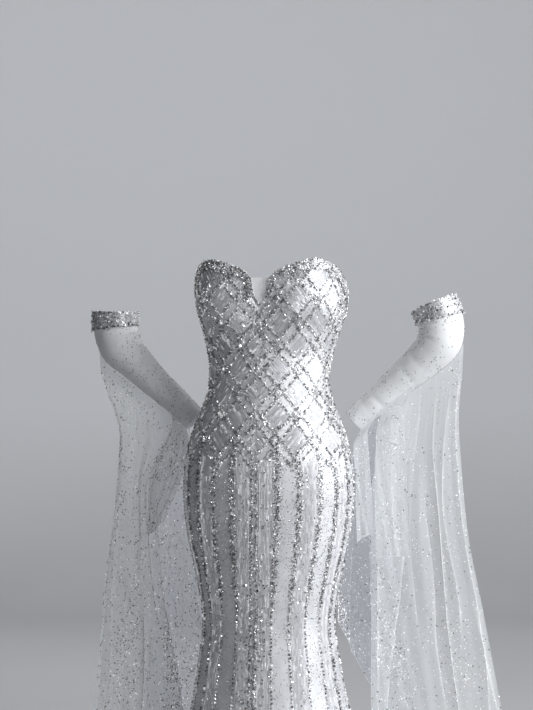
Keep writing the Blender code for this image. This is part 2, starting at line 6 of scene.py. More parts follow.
import bpy
import numpy as np
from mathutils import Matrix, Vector


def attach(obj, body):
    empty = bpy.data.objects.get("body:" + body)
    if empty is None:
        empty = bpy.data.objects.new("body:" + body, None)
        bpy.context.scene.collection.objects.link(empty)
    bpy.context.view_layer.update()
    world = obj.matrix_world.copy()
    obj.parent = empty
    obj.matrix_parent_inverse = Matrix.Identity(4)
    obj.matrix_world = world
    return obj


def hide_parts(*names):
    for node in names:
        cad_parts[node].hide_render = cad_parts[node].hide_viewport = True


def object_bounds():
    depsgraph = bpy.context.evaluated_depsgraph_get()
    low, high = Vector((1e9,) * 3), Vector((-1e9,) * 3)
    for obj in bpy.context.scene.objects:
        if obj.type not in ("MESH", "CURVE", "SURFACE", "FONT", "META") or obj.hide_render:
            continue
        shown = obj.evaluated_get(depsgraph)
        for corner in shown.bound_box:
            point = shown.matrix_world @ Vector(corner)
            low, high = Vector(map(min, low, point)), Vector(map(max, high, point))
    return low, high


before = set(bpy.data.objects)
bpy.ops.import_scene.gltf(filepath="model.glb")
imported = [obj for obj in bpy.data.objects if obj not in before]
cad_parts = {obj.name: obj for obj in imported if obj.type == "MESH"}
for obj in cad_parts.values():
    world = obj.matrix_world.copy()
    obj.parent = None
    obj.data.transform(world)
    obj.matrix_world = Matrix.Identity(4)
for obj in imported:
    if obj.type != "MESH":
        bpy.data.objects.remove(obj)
cadLow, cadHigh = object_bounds()
rng = np.random.default_rng(11)
body = "dress"

# camera: level, a little to the wearer's left of straight in front
cameraView = {"turn": 14.0, "distance": 4.0, "height": 0.040, "aside": -0.004, "lens": 101.4}


def makeCamera():
    turn = math.radians(cameraView["turn"])
    ahead = Vector((-math.sin(turn), math.cos(turn), 0))
    right = Vector((math.cos(turn), math.sin(turn), 0))
    data = bpy.data.cameras.new("camera")
    data.lens = cameraView["lens"]
    camera = bpy.data.objects.new("camera", data)
    camera.location = right * cameraView["aside"] - ahead * cameraView["distance"]
    camera.location.z = cameraView["height"]
    camera.rotation_euler = ahead.to_track_quat("-Z", "Y").to_euler()
    bpy.context.scene.collection.objects.link(camera)
    bpy.context.scene.camera = camera
    return ahead, right


ahead, right = makeCamera()


# curves and small helpers
def columnAt(rows, column, at):
    # smooth curve through one column of a table; the table's first column says where
    places = np.array([row[0] for row in rows], float)
    values = np.array([row[column] for row in rows], float)
    last = len(rows) - 1
    low = np.maximum(np.arange(last + 1) - 1, 0)
    high = np.minimum(np.arange(last + 1) + 1, last)
    slopes = (values[high] - values[low]) / (places[high] - places[low])
    at = np.clip(at, places[0], places[-1])
    k = np.clip(np.searchsorted(places, at, side="right") - 1, 0, last - 1)
    span = places[k + 1] - places[k]
    t = (at - places[k]) / span
    return ((2 * t**3 - 3 * t**2 + 1) * values[k] + (t**3 - 2 * t**2 + t) * span * slopes[k]
            + (3 * t**2 - 2 * t**3) * values[k + 1] + (t**3 - t**2) * span * slopes[k + 1])


def straightAt(rows, column, at):
    return np.interp(at, [row[0] for row in rows], [row[column] for row in rows])


def ease(t):
    t = np.clip(t, 0, 1)
    return t * t * (3 - 2 * t)


def bump(away, spread):
    return np.exp(-(away / spread) ** 2)


def unit(v):
    return v / np.maximum(np.linalg.norm(v, axis=-1, keepdims=True), 1e-12)


def stepLengths(points, axis):
    return np.linalg.norm(np.diff(points, axis=axis), axis=-1)


def closedRound(grid):
    # a tube's grid with its first column repeated after the last
    return np.concatenate([grid, grid[:, :1]], 1)


def only(keep, *rows):
    return [row[keep] for row in rows]


def waves(at, seed, coarse):
    # smooth uneven values from 0 to 1 along a line; coarse is the length of one swell
    dots = np.random.default_rng(seed).random(512)
    k = np.floor(at / coarse).astype(int)
    t = ease(at / coarse - k)
    return dots[k % 512] * (1 - t) + dots[(k + 1) % 512] * t


# the gown's surface: sections from the hem up, then the cups and the skirt's flutes
gown = {
    "hem": -1.100,
    "top": 0.240,
    # height, half width, depth in front, depth behind, centre y, turn in degrees
    "rings": [
        (-1.100, 0.300, 0.280, 0.320, 0.030, 0), (-0.920, 0.236, 0.214, 0.246, 0.025, 2),
        (-0.780, 0.188, 0.166, 0.186, 0.019, 3), (-0.660, 0.156, 0.132, 0.140, 0.013, 3),
        (-0.570, 0.141, 0.114, 0.113, 0.006, 3), (-0.490, 0.132, 0.104, 0.099, 0.002, 3),
        (-0.410, 0.143, 0.106, 0.103, 0.000, 2), (-0.330, 0.160, 0.111, 0.112, -0.002, 1),
        (-0.260, 0.169, 0.114, 0.124, -0.002, 0), (-0.200, 0.169, 0.113, 0.128, -0.003, 0),
        (-0.140, 0.160, 0.108, 0.120, -0.002, 0), (-0.090, 0.143, 0.100, 0.106, 0.000, 0),
        (-0.040, 0.124, 0.091, 0.094, 0.002, 0), (0.000, 0.119, 0.087, 0.088, 0.004, 0),
        (0.040, 0.124, 0.090, 0.088, 0.014, 0), (0.090, 0.137, 0.098, 0.091, 0.024, -1),
        (0.130, 0.148, 0.104, 0.094, 0.028, -1), (0.170, 0.151, 0.105, 0.095, 0.027, -2),
        (0.240, 0.146, 0.098, 0.092, 0.026, -2),
    ],
    # angle from centre front, height of the upper edge
    "neckline": [
        (0, 0.141), (2.6, 0.149), (5.6, 0.161), (7.5, 0.190), (12, 0.203), (18, 0.211), (25, 0.217),
        (33, 0.223), (42, 0.227), (51, 0.223), (60, 0.214), (70, 0.202), (80, 0.186), (90, 0.165),
        (100, 0.143), (112, 0.127), (126, 0.119), (144, 0.115), (162, 0.114), (180, 0.114),
    ],
    "cup": {"depth": 0.028, "angle": 37, "spread": 25, "height": 0.142, "drop": 0.060, "rise": 0.090},
    # angle, spread, how far it stands out at the hem as a share of the section
    "flutes": [
        (-163, 13, 0.070), (-128, 12, 0.085), (-91, 14, 0.060), (-55, 12, 0.080), (-20, 13, 0.065),
        (17, 12, 0.075), (52, 14, 0.070), (90, 12, 0.080), (124, 13, 0.065), (160, 12, 0.085),
    ],
    "fluteTop": -0.58,
    # soft creases of the worn cloth: angle, height, spread round, spread up, lean, depth
    "creases": [
        (-62, -0.385, 7, 0.090, 30, -0.0016), (-34, -0.445, 6, 0.110, 10, -0.0014),
        (-12, -0.520, 6, 0.120, -8, -0.0012), (14, -0.470, 7, 0.100, 12, 0.0012),
        (44, -0.430, 6, 0.100, -18, -0.0015), (70, -0.500, 7, 0.110, -10, -0.0014),
        (-80, 0.020, 16, 0.010, 0, -0.0011), (-76, -0.022, 18, 0.009, 20, -0.0012),
        (78, 0.014, 15, 0.010, -20, -0.0011), (82, -0.028, 18, 0.009, 10, -0.0010),
        (118, -0.010, 20, 0.010, 30, -0.0012), (-122, -0.016, 18, 0.011, -30, -0.0012),
        (150, -0.060, 16, 0.010, 10, -0.0011), (-148, 0.022, 15, 0.009, -10, -0.0011),
        (112, -0.420, 7, 0.110, 16, -0.0015), (150, -0.470, 7, 0.110, -10, -0.0014),
        (-118, -0.450, 7, 0.100, -14, -0.0015), (-152, -0.500, 6, 0.120, 8, -0.0013),
    ],
    "wall": 0.0015,
}


def cupBulge(angle, z):
    cup = gown["cup"]
    fade = bump(z - cup["height"], np.where(z > cup["height"], cup["rise"], cup["drop"]))
    return cup["depth"] * fade * bump(np.sqrt(angle**2 + 9) - cup["angle"], cup["spread"])


def turnBetween(angle, other):
    return (angle - other + 180) % 360 - 180


def fluteSwell(angle, z):
    growth = ease((gown["fluteTop"] - z) / (gown["fluteTop"] - gown["hem"]))
    return growth * sum(d * bump(turnBetween(angle, a), s) for a, s, d in gown["flutes"])


def creaseDepth(angle, z):
    total = 0
    for at, height, spread, tall, lean, depth in gown["creases"]:
        along = z - height
        away = turnBetween(angle, at) - lean * along / tall * 0.5
        total = total + depth * bump(away, spread) * bump(along, tall)
    return total


def gownPoint(angle, z):
    angle, z = np.broadcast_arrays(np.asarray(angle, float), np.asarray(z, float))
    a = np.radians(angle)
    depth = np.where(np.cos(a) > 0, columnAt(gown["rings"], 2, z), columnAt(gown["rings"], 3, z))
    x = columnAt(gown["rings"], 1, z) * np.sin(a)
    y = -depth * np.cos(a)
    reach = np.hypot(x, y)
    swell = 1 + fluteSwell(angle, z) + (cupBulge(angle, z) + creaseDepth(angle, z)) / reach
    x, y = x * swell, y * swell
    turn = np.radians(columnAt(gown["rings"], 5, z))
    middle = columnAt(gown["rings"], 4, z)
    turnedX = x * np.cos(turn) + y * np.sin(turn)
    turnedY = middle + y * np.cos(turn) - x * np.sin(turn)
    return np.stack([turnedX, turnedY, z], -1)


def gownNormal(angle, z):
    across = gownPoint(angle + 0.5, z) - gownPoint(angle - 0.5, z)
    up = gownPoint(angle, z + 0.002) - gownPoint(angle, z - 0.002)
    return unit(np.cross(across, up))


def neckHeight(angle):
    return straightAt(gown["neckline"], 1, np.abs(turnBetween(angle, 0)))


# lengths along the cloth, so that beads are laid out in real millimetres
arcAngles = np.linspace(0, 180, 121)
arcHeights = np.linspace(gown["hem"], gown["top"], 269)
arcShares = np.linspace(0, 1, 241)


def measureArcs(side):
    points = gownPoint(side * arcAngles[None, :], arcHeights[:, None])
    arcs = np.concatenate([np.zeros((len(arcHeights), 1)), np.cumsum(stepLengths(points, 1), axis=1)], axis=1)
    angles = np.array([np.interp(arcShares * row[-1], row, arcAngles) for row in arcs])
    return arcs[:, -1], angles


arcTables = {1: measureArcs(1), -1: measureArcs(-1)}


def halfGirth(side, z):
    return np.interp(z, arcHeights, arcTables[side][0])


def angleAt(side, fromBack, arc, z):
    # angle of a place that lies this far along the cloth from centre front or centre back
    half = halfGirth(side, z)
    share = (half - arc if fromBack else arc) / half
    table = arcTables[side][1]
    row = np.clip((z - arcHeights[0]) / (arcHeights[1] - arcHeights[0]), 0, len(arcHeights) - 1.001)
    column = np.clip(share * (len(arcShares) - 1), 0, len(arcShares) - 1.001)
    r, c = row.astype(int), column.astype(int)
    fr, fc = row - r, column - c
    found = ((table[r, c] * (1 - fc) + table[r, c + 1] * fc) * (1 - fr)
             + (table[r + 1, c] * (1 - fc) + table[r + 1, c + 1] * fc) * fr)
    return side * found


# meshes
def newPiece(name, mesh, material):
    piece = bpy.data.objects.new(name, mesh)
    bpy.context.scene.collection.objects.link(piece)
    for one in material if isinstance(material, (list, tuple)) else [material]:
        mesh.materials.append(one)
    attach(piece, body)
    return piece


def gridMesh(name, grid, tube):
    # rows go up the cloth and columns across it; its UV map holds metres of cloth
    rows, columns = grid.shape[:2]
    r, c = np.meshgrid(np.arange(rows - 1), np.arange(columns if tube else columns - 1), indexing="ij")
    nextColumn = (c + 1) % columns
    faces = np.stack([r * columns + c, r * columns + nextColumn,
                      (r + 1) * columns + nextColumn, (r + 1) * columns + c], -1).reshape(-1, 4)
    mesh = bpy.data.meshes.new(name)
    mesh.from_pydata(grid.reshape(-1, 3).tolist(), [], faces.tolist())
    wide = stepLengths(closedRound(grid) if tube else grid, 1)
    u = np.concatenate([[0], np.cumsum(wide.mean(0))])
    v = np.concatenate([[0], np.cumsum(stepLengths(grid, 0).mean(1))])
    corners = np.stack([np.stack([u[c], v[r]], -1), np.stack([u[c + 1], v[r]], -1),
                        np.stack([u[c + 1], v[r + 1]], -1), np.stack([u[c], v[r + 1]], -1)], 2)
    layer = mesh.uv_layers.new(name="cloth")
    layer.data.foreach_set("uv", corners.reshape(-1).astype(np.float32))
    mesh.shade_smooth()
    return mesh


def rollEdges(mesh, rows, edges):
    # the second material along the foot and the two sides
    onEdge = np.zeros((rows, len(mesh.polygons) // rows), np.int32)
    if "foot" in edges:
        onEdge[0] = 1
    if "sides" in edges:
        onEdge[:, [0, -1]] = 1
    mesh.polygons.foreach_set("material_index", onEdge.reshape(-1))


def thicken(piece, wall, lined):
    # a wall with crisp edges; a lined one has the second material inside
    mesh = piece.data
    edge = mesh.attributes.new("sharp_edge", "BOOLEAN", "EDGE")
    used = np.zeros(len(mesh.edges), int)
    loops = np.empty(len(mesh.loops), np.int32)
    mesh.loops.foreach_get("edge_index", loops)
    np.add.at(used, loops, 1)
    edge.data.foreach_set("value", used == 1)
    shell = piece.modifiers.new("wall", "SOLIDIFY")
    shell.thickness = wall
    shell.offset = 0
    shell.material_offset = 1 if lined else 0


def clothPiece(name, grid, wall, material, tube=False, lined=False, edges=()):
    # a second material is the lining, or the rolled edge where "edges" names the foot or the sides
    mesh = gridMesh(name, grid, tube)
    piece = newPiece(name, mesh, material)
    if edges:
        rollEdges(mesh, len(grid) - 1, edges)
    if wall:
        thicken(piece, wall, lined)
    return piece


def flatCut(grid, tube=False):
    # width, length and area of a sheet laid flat
    closed = closedRound(grid) if tube else grid
    a, b, c, d = closed[:-1, :-1], closed[:-1, 1:], closed[1:, 1:], closed[1:, :-1]
    doubled = np.linalg.norm(np.cross(b - a, c - a), axis=2) + np.linalg.norm(np.cross(c - a, d - a), axis=2)
    return stepLengths(closed, 1).sum(1).max(), stepLengths(grid, 0).sum(0).max(), doubled.sum() / 2


def declareCloth(piece, grid, tube=False):
    # prints the width, length and area of the sheet laid flat
    width, length, area = (float(measure) for measure in flatCut(grid, tube))
    width, length = round(width, 3), round(length, 3)
    print("flat cut", piece.name, width, length, round(area, 4))


# bead shapes: corners in bead widths, then faces
def ringPoints(count, radius, height):
    turns = np.arange(count) * 2 * math.pi / count
    return [(radius * math.cos(t), radius * math.sin(t), height) for t in turns]


def sideFaces(count):
    # the point over a ring of corners: one face for each side
    return [(i, (i + 1) % count, count) for i in range(count)]


def cutStone(count=5):
    faces = [(i, (i + 1) % count, count + (i + 1) % count, count + i) for i in range(count)]
    faces.append(tuple(range(count, 2 * count)))
    return ringPoints(count, 0.5, 0.0) + ringPoints(count, 0.30, 0.34), faces


def pointedBead(count=5):
    return ringPoints(count, 0.5, 0.0) + [(0, 0, 0.5)], sideFaces(count)


def sequin(count=6):
    return ringPoints(count, 0.5, 0.0) + [(0, 0, -0.08)], sideFaces(count)


def bugle():
    # a tube's upper half: x along it, y across
    section = ((-0.5, 0), (-0.25, 0.32), (0.25, 0.32), (0.5, 0))
    corners = [(x, y, z) for x in (-0.5, 0.5) for y, z in section]
    return corners, [(i, i + 1, i + 5, i + 4) for i in range(3)]


def beadPiece(name, shape, places, material, smooth=False):
    # places: rows of centre, x axis, y axis, z axis (each scaled), tone
    corners, faces = np.array(shape[0], float), shape[1]
    centre, ax, ay, az, tone = places
    n, v = len(centre), len(corners)
    points = (centre[:, None] + corners[None, :, :1] * ax[:, None] + corners[None, :, 1:2] * ay[:, None]
              + corners[None, :, 2:] * az[:, None])
    loops = np.concatenate([np.array(f) for f in faces])
    sizes = np.array([len(f) for f in faces])
    starts = np.concatenate([[0], np.cumsum(sizes)[:-1]])
    allLoops = (np.arange(n)[:, None] * v + loops[None]).reshape(-1)
    allStarts = (np.arange(n)[:, None] * len(loops) + starts[None]).reshape(-1)
    mesh = bpy.data.meshes.new(name)
    mesh.vertices.add(n * v)
    mesh.vertices.foreach_set("co", points.reshape(-1).astype(np.float32))
    mesh.loops.add(n * len(loops))
    mesh.loops.foreach_set("vertex_index", allLoops.astype(np.int32))
    mesh.polygons.add(n * len(faces))
    mesh.polygons.foreach_set("loop_start", allStarts.astype(np.int32))
    mesh.update(calc_edges=True)
    toneLayer = mesh.attributes.new("tone", "FLOAT", "POINT")
    toneLayer.data.foreach_set("value", np.repeat(tone, v).astype(np.float32))
    # each bead has a square of its own on the bake map
    cells = math.ceil(math.sqrt(n))
    cell = np.stack([np.arange(n) % cells, np.arange(n) // cells], -1) + 0.5
    uv = (np.repeat(cell, len(loops), 0) + 0.8 * np.tile(corners[loops, :2], (n, 1))) / cells
    mesh.uv_layers.new(name="OFBake").data.foreach_set("uv", uv.reshape(-1).astype(np.float32))
    if smooth:
        mesh.shade_smooth()
    else:
        mesh.shade_flat()
    piece = newPiece(name, mesh, material)
    print("beads", name, n, "triangles", n * int((sizes - 2).sum()))
    return piece


def setBeads(points, normals, size, lift, tone, tilt=14.0, tall=1.0):
    # beads sewn on a surface: each with its own spin and a slight tilt, so that they sparkle unevenly
    n = len(points)
    side = unit(np.cross(normals, np.array([0.31, 0.17, 0.93])))    # any way across the normal does
    other = np.cross(normals, side)
    spin = rng.random(n) * 2 * math.pi
    x = side * np.cos(spin)[:, None] + other * np.sin(spin)[:, None]
    lean = np.radians(rng.normal(0, tilt, n))
    z = unit(normals * np.cos(lean)[:, None] + x * np.sin(lean)[:, None])
    x = unit(x - z * (x * z).sum(1, keepdims=True))
    y = np.cross(z, x)
    size = np.broadcast_to(size, n)[:, None]
    return points + normals * lift, x * size, y * size, z * size * tall, tone


def sewOnGown(angle, z, size, lift, tone, tilt, tall=1.0):
    return setBeads(gownPoint(angle, z), gownNormal(angle, z), size, lift, tone, tilt, tall)


def joinPlaces(parts):
    return [np.concatenate(group) for group in zip(*parts)]


# materials: shared effects are groups, shaders stay in each material
def setSocket(tree, socket, value):
    # a number or a colour is set; anything else is the output that feeds the socket
    if isinstance(value, (int, float)):
        socket.default_value = value
    elif isinstance(value, tuple):
        socket.default_value = (*value, 1)
    else:
        tree.links.new(value, socket)


def setInputs(tree, node, values):
    for label, value in values.items():
        setSocket(tree, node.inputs[label], value)
    return node


def addNode(tree, kind, values):
    return setInputs(tree, tree.nodes.new(kind), values)


def addMath(tree, operation, first, second, clamp=False):
    node = tree.nodes.new("ShaderNodeMath")
    node.operation = operation
    node.use_clamp = clamp
    setSocket(tree, node.inputs[0], first)
    setSocket(tree, node.inputs[1], second)
    return node.outputs[0]


def addScaled(tree, value, scale, plus):
    return addMath(tree, "ADD", addMath(tree, "MULTIPLY", value, scale), plus)


def addMix(tree, share, first, second):
    node = tree.nodes.new("ShaderNodeMix")
    node.data_type = "RGBA"
    setSocket(tree, node.inputs["Factor"], share)
    setSocket(tree, node.inputs[6], first)
    setSocket(tree, node.inputs[7], second)
    return node.outputs[2]


def newGroup(name, inputs, outputs):
    # inputs: name and first value, which is a number, a colour or, for a place, None
    group = bpy.data.node_groups.new(name, "ShaderNodeTree")
    for label, value in inputs.items():
        kind = "Vector" if value is None else "Color" if isinstance(value, tuple) else "Float"
        socket = group.interface.new_socket(label, in_out="INPUT", socket_type=f"NodeSocket{kind}")
        if value is not None:
            socket.default_value = (*value, 1) if kind == "Color" else value
    for label, kind in outputs.items():
        group.interface.new_socket(label, in_out="OUTPUT", socket_type=f"NodeSocket{kind}")
    return group, group.nodes.new("NodeGroupInput").outputs, group.nodes.new("NodeGroupOutput")


def makeBeadTone():
    # turns a bead's own tone, 0 to 1, into smoky, silver or clear, and gives the clearest a painted glint: a
    # colour for them to glow with
    group, given, made = newGroup(
        "bead tone",
        {"Tone": 0.5, "Smoky share": 0.4, "Smoky": (0.03, 0.03, 0.035), "Silver": (0.5, 0.5, 0.53),
         "Clear": (0.95, 0.96, 1), "Polish": 0.15},
        {"Color": "Color", "Roughness": "Float", "Painted glint": "Color"})
    smoky = addMath(group, "LESS_THAN", given["Tone"], given["Smoky share"])
    over = addMath(group, "SUBTRACT", given["Tone"], given["Smoky share"])
    left = addMath(group, "SUBTRACT", 1.001, given["Smoky share"])
    share = addMath(group, "DIVIDE", over, left, clamp=True)
    pale = addMix(group, share, given["Silver"], given["Clear"])
    # painted glint: only the clearest tones glow
    bright = addMath(group, "POWER", addMath(group, "MAXIMUM", share, 0.0), 6.0)
    worn = addMath(group, "MULTIPLY", share, 0.12)
    setInputs(group, made, {"Color": addMix(group, smoky, pale, given["Smoky"]),
                            "Roughness": addMath(group, "ADD", given["Polish"], worn),
                            "Painted glint": addMix(group, bright, (0.0, 0.0, 0.0), given["Clear"])})
    return group


def makeNetWeave():
    # six-sided net: threads round small holes
    group, given, made = newGroup(
        "net weave", {"Vector": None, "Holes per metre": 600.0, "Thread": 0.12}, {"Threads": "Float"})
    cells = group.nodes.new("ShaderNodeTexVoronoi")
    cells.feature = "DISTANCE_TO_EDGE"
    cells.voronoi_dimensions = "2D"
    setInputs(group, cells, {"Vector": given["Vector"], "Scale": given["Holes per metre"],
                             "Randomness": 0.35})
    share = addMath(group, "DIVIDE", cells.outputs["Distance"], given["Thread"], clamp=True)
    setInputs(group, made, {"Threads": addMath(group, "SUBTRACT", 1.0, share)})
    return group


def makeUneven():
    # slow cloudy changes over a cloth
    group, given, made = newGroup(
        "uneven cloth", {"Vector": None, "Scale": 12.0, "Least": 0.0, "Most": 1.0}, {"Value": "Float"})
    cloud = addNode(group, "ShaderNodeTexNoise", {"Vector": given["Vector"], "Scale": given["Scale"],
                                                  "Detail": 3})
    spread = addNode(group, "ShaderNodeMapRange", {
        "Value": cloud.outputs["Fac"], "From Min": 0.30, "From Max": 0.70,
        "To Min": given["Least"], "To Max": given["Most"]})
    setInputs(group, made, {"Value": spread.outputs["Result"]})
    return group


def makeSpecks():
    # tiny glued glitter: one dot in some cells, with a value of its own
    group, given, made = newGroup(
        "glitter specks", {"Vector": None, "Cells per metre": 220.0, "Size": 0.16, "Share": 0.5},
        {"Mask": "Float", "Value": "Float"})
    cells = group.nodes.new("ShaderNodeTexVoronoi")
    cells.voronoi_dimensions = "2D"
    setInputs(group, cells, {"Vector": given["Vector"], "Scale": given["Cells per metre"]})
    parts = addNode(group, "ShaderNodeSeparateColor", {"Color": cells.outputs["Color"]}).outputs
    near = addMath(group, "LESS_THAN", cells.outputs["Distance"], given["Size"])
    chosen = addMath(group, "LESS_THAN", parts["Red"], given["Share"])
    setInputs(group, made, {"Mask": addMath(group, "MULTIPLY", near, chosen), "Value": parts["Green"]})
    return group


beadTone = makeBeadTone()
netWeave = makeNetWeave()
unevenCloth = makeUneven()
glitterSpecks = makeSpecks()


def newMaterial(name):
    material = bpy.data.materials.new(name)
    material.use_nodes = True
    return material, material.node_tree, material.node_tree.nodes["Principled BSDF"]


def useGroup(tree, group, values):
    node = tree.nodes.new("ShaderNodeGroup")
    node.node_tree = group
    return setInputs(tree, node, values).outputs


def clothPlace(tree):
    node = tree.nodes.new("ShaderNodeUVMap")
    node.uv_map = "cloth"
    return node.outputs["UV"]


def bodyPlace(tree):
    return tree.nodes.new("ShaderNodeTexCoord").outputs["Object"]


def addCloud(tree, scale, least=0.0, most=1.0):
    values = {"Vector": bodyPlace(tree), "Scale": scale, "Least": least, "Most": most}
    return useGroup(tree, unevenCloth, values)["Value"]


def addWeave(tree, place, holes, thread):
    return useGroup(tree, netWeave, {"Vector": place, "Holes per metre": holes, "Thread": thread})["Threads"]


def addAttribute(tree, name):
    node = tree.nodes.new("ShaderNodeAttribute")
    node.attribute_name = name
    return node.outputs["Fac"]


def addBump(tree, shader, height, depth, strength):
    node = addNode(tree, "ShaderNodeBump", {"Height": height, "Distance": depth, "Strength": strength})
    setInputs(tree, shader, {"Normal": node.outputs["Normal"]})


def mixShaders(tree, share, first, second):
    node = addNode(tree, "ShaderNodeMixShader", {"Fac": share})
    setSocket(tree, node.inputs[1], first.outputs[0])
    setSocket(tree, node.inputs[2], second.outputs[0])
    return node


def setSurface(tree, node):
    setInputs(tree, tree.nodes["Material Output"], {"Surface": node.outputs[0]})


beadFinishes = {
    # smoky share, smoky, silver, clear, polish, metallic
    "crystal": (0.30, (0.25, 0.247, 0.255), (0.64, 0.64, 0.66), (1.0, 1.0, 1.0), 0.17, 0.62),
    "trim": (0.26, (0.20, 0.20, 0.205), (0.60, 0.60, 0.62), (0.90, 0.90, 0.92), 0.18, 0.45),
    "seed": (0.44, (0.22, 0.218, 0.225), (0.60, 0.60, 0.62), (0.95, 0.95, 0.98), 0.20, 0.60),
    "dark seed": (0.62, (0.07, 0.07, 0.075), (0.50, 0.50, 0.52), (0.95, 0.95, 0.98), 0.12, 0.70),
    "bugle": (0.0, (0.40, 0.40, 0.42), (0.58, 0.585, 0.61), (0.88, 0.885, 0.91), 0.26, 0.40),
    "sequin": (0.05, (0.20, 0.20, 0.22), (0.85, 0.85, 0.88), (1.0, 1.0, 1.0), 0.10, 0.90),
    "flake": (0.20, (0.09, 0.09, 0.10), (0.80, 0.81, 0.84), (1.0, 1.0, 1.0), 0.20, 0.30),
}

# painted glints: how strongly the clearest of each kind glow with emission, as if they caught the light
paintedGlints = {"flake": 1.9, "sequin": 0.5, "bugle": 0.30, "crystal": 0.35, "trim": 0.25}


def beadMaterial(name):
    smokyShare, smoky, silver, clear, polish, metallic = beadFinishes[name]
    material, tree, shader = newMaterial(f"{name} beads")
    mixed = useGroup(tree, beadTone, {"Tone": addAttribute(tree, "tone"), "Smoky share": smokyShare,
                                      "Smoky": smoky, "Silver": silver, "Clear": clear, "Polish": polish})
    setInputs(tree, shader, {"Base Color": mixed["Color"], "Roughness": mixed["Roughness"],
                             "Metallic": metallic})
    if name in paintedGlints:
        # painted glint: the clearest beads glow with emission, though they are no lamp
        setInputs(tree, shader, {"Emission Color": mixed["Painted glint"], "Emission Strength": paintedGlints[name]})
    return material


beads = {name: beadMaterial(name) for name in beadFinishes}


def groundMaterial():
    # silver-white net over satin, the ground that the beads are sewn to
    material, tree, shader = newMaterial("beading ground")
    cloud = addCloud(tree, 26.0)
    weave = addWeave(tree, clothPlace(tree), 520.0, 0.16)
    soft = addMix(tree, cloud, (0.70, 0.70, 0.73), (0.86, 0.87, 0.89))
    colour = addMix(tree, addMath(tree, "MULTIPLY", weave, 0.5), soft, (0.94, 0.95, 0.97))
    setInputs(tree, shader, {"Base Color": colour, "Roughness": addScaled(tree, cloud, 0.16, 0.28),
                             "Metallic": 0.32, "Sheen Weight": 0.10})
    addBump(tree, shader, weave, 0.0003, 0.5)
    return material


def liningMaterial():
    material, tree, shader = newMaterial("satin lining")
    cloud = addCloud(tree, 18.0)
    rib = addNode(tree, "ShaderNodeTexWave", {"Vector": clothPlace(tree), "Scale": 300, "Distortion": 1.5})
    colour = addMix(tree, cloud, (0.66, 0.65, 0.64), (0.78, 0.77, 0.76))
    setInputs(tree, shader, {"Base Color": colour, "Roughness": addScaled(tree, cloud, 0.15, 0.36),
                             "Sheen Weight": 0.2})
    addBump(tree, shader, rib.outputs["Fac"], 0.0002, 0.4)
    return material


netFinishes = {
    # tint, how solid the threads and the holes are, share of the places that have a speck,
    # dark ones among the specks, light that passes through
    "wing net": {"tint": (0.965, 0.985, 1.0), "thread": 0.82, "hole": 0.74, "specks": 0.05, "dark": 0.25,
                 "glow": 0.40},
    # the back layers' sheer net: its darker tint is painted shade, as they hang in the gown's shade
    "sheer net in painted shade": {"tint": (0.78, 0.81, 0.88), "thread": 0.48, "hole": 0.40, "specks": 0.06, "dark": 0.3,
                  "glow": 0.42},
    "sleeve net": {"tint": (0.98, 0.99, 1.0), "thread": 0.94, "hole": 0.86, "specks": 0.06, "dark": 0.55,
                   "glow": 0.14},
    "gathered net": {"tint": (0.93, 0.94, 0.96), "thread": 0.84, "hole": 0.74, "specks": 0.08, "dark": 0.5,
                     "glow": 0.36},
    "notch net": {"tint": (0.97, 0.97, 0.98), "thread": 0.72, "hole": 0.62, "specks": 0.04, "dark": 0.2,
                  "glow": 0.2},
    "net hem": {"tint": (0.96, 0.97, 1.0), "thread": 0.90, "hole": 0.80, "specks": 0.10, "dark": 0.1,
                "glow": 0.3},
}


def netMaterial(name):
    finish = netFinishes[name]
    material, tree, shader = newMaterial(name)
    place = clothPlace(tree)
    weave = addWeave(tree, place, 560.0, 0.20)
    cloud = addCloud(tree, 7.0, -0.05, 0.07)
    specks = useGroup(tree, glitterSpecks, {"Vector": place, "Cells per metre": 190.0, "Size": 0.17,
                                            "Share": finish["specks"]})
    dark = addMath(tree, "LESS_THAN", specks["Value"], finish["dark"])
    speckColour = addMix(tree, dark, (1.0, 1.0, 1.0), (0.05, 0.05, 0.06))
    crease = addAttribute(tree, "crease")       # the net lies double in a crease: more solid there, and its colour lifted to white there as a painted highlight
    # painted highlight: the tint is lifted to white along the creases
    plain = addMix(tree, crease, finish["tint"], (1.0, 1.0, 1.0))
    colour = addMix(tree, specks["Mask"], plain, speckColour)
    rough = addMath(tree, "SUBTRACT", 0.55, addMath(tree, "MULTIPLY", specks["Mask"], 0.35))
    setInputs(tree, shader, {"Base Color": colour, "Roughness": rough, "Sheen Weight": 0.35})
    addBump(tree, shader, weave, 0.0001, 0.2)
    even = addScaled(tree, weave, finish["thread"] - finish["hole"], finish["hole"])
    sheer = addMath(tree, "ADD", even, cloud)
    double = addMath(tree, "ADD", sheer, addMath(tree, "MULTIPLY", crease, 0.35))
    solid = addMath(tree, "MAXIMUM", double, specks["Mask"], clamp=True)
    glow = addNode(tree, "ShaderNodeBsdfTranslucent", {"Color": colour})    # thin threads let light through
    threads = mixShaders(tree, finish["glow"], shader, glow)
    setSurface(tree, mixShaders(tree, solid, tree.nodes.new("ShaderNodeBsdfTransparent"), threads))
    return material


def trimGroundMaterial():
    material, tree, shader = newMaterial("trim ground")
    cloud = addCloud(tree, 160.0)
    colour = addMix(tree, cloud, (0.40, 0.40, 0.41), (0.68, 0.68, 0.70))
    setInputs(tree, shader, {"Base Color": colour, "Roughness": addScaled(tree, cloud, 0.2, 0.25),
                             "Metallic": 0.25})
    addBump(tree, shader, cloud, 0.0008, 0.6)
    return material


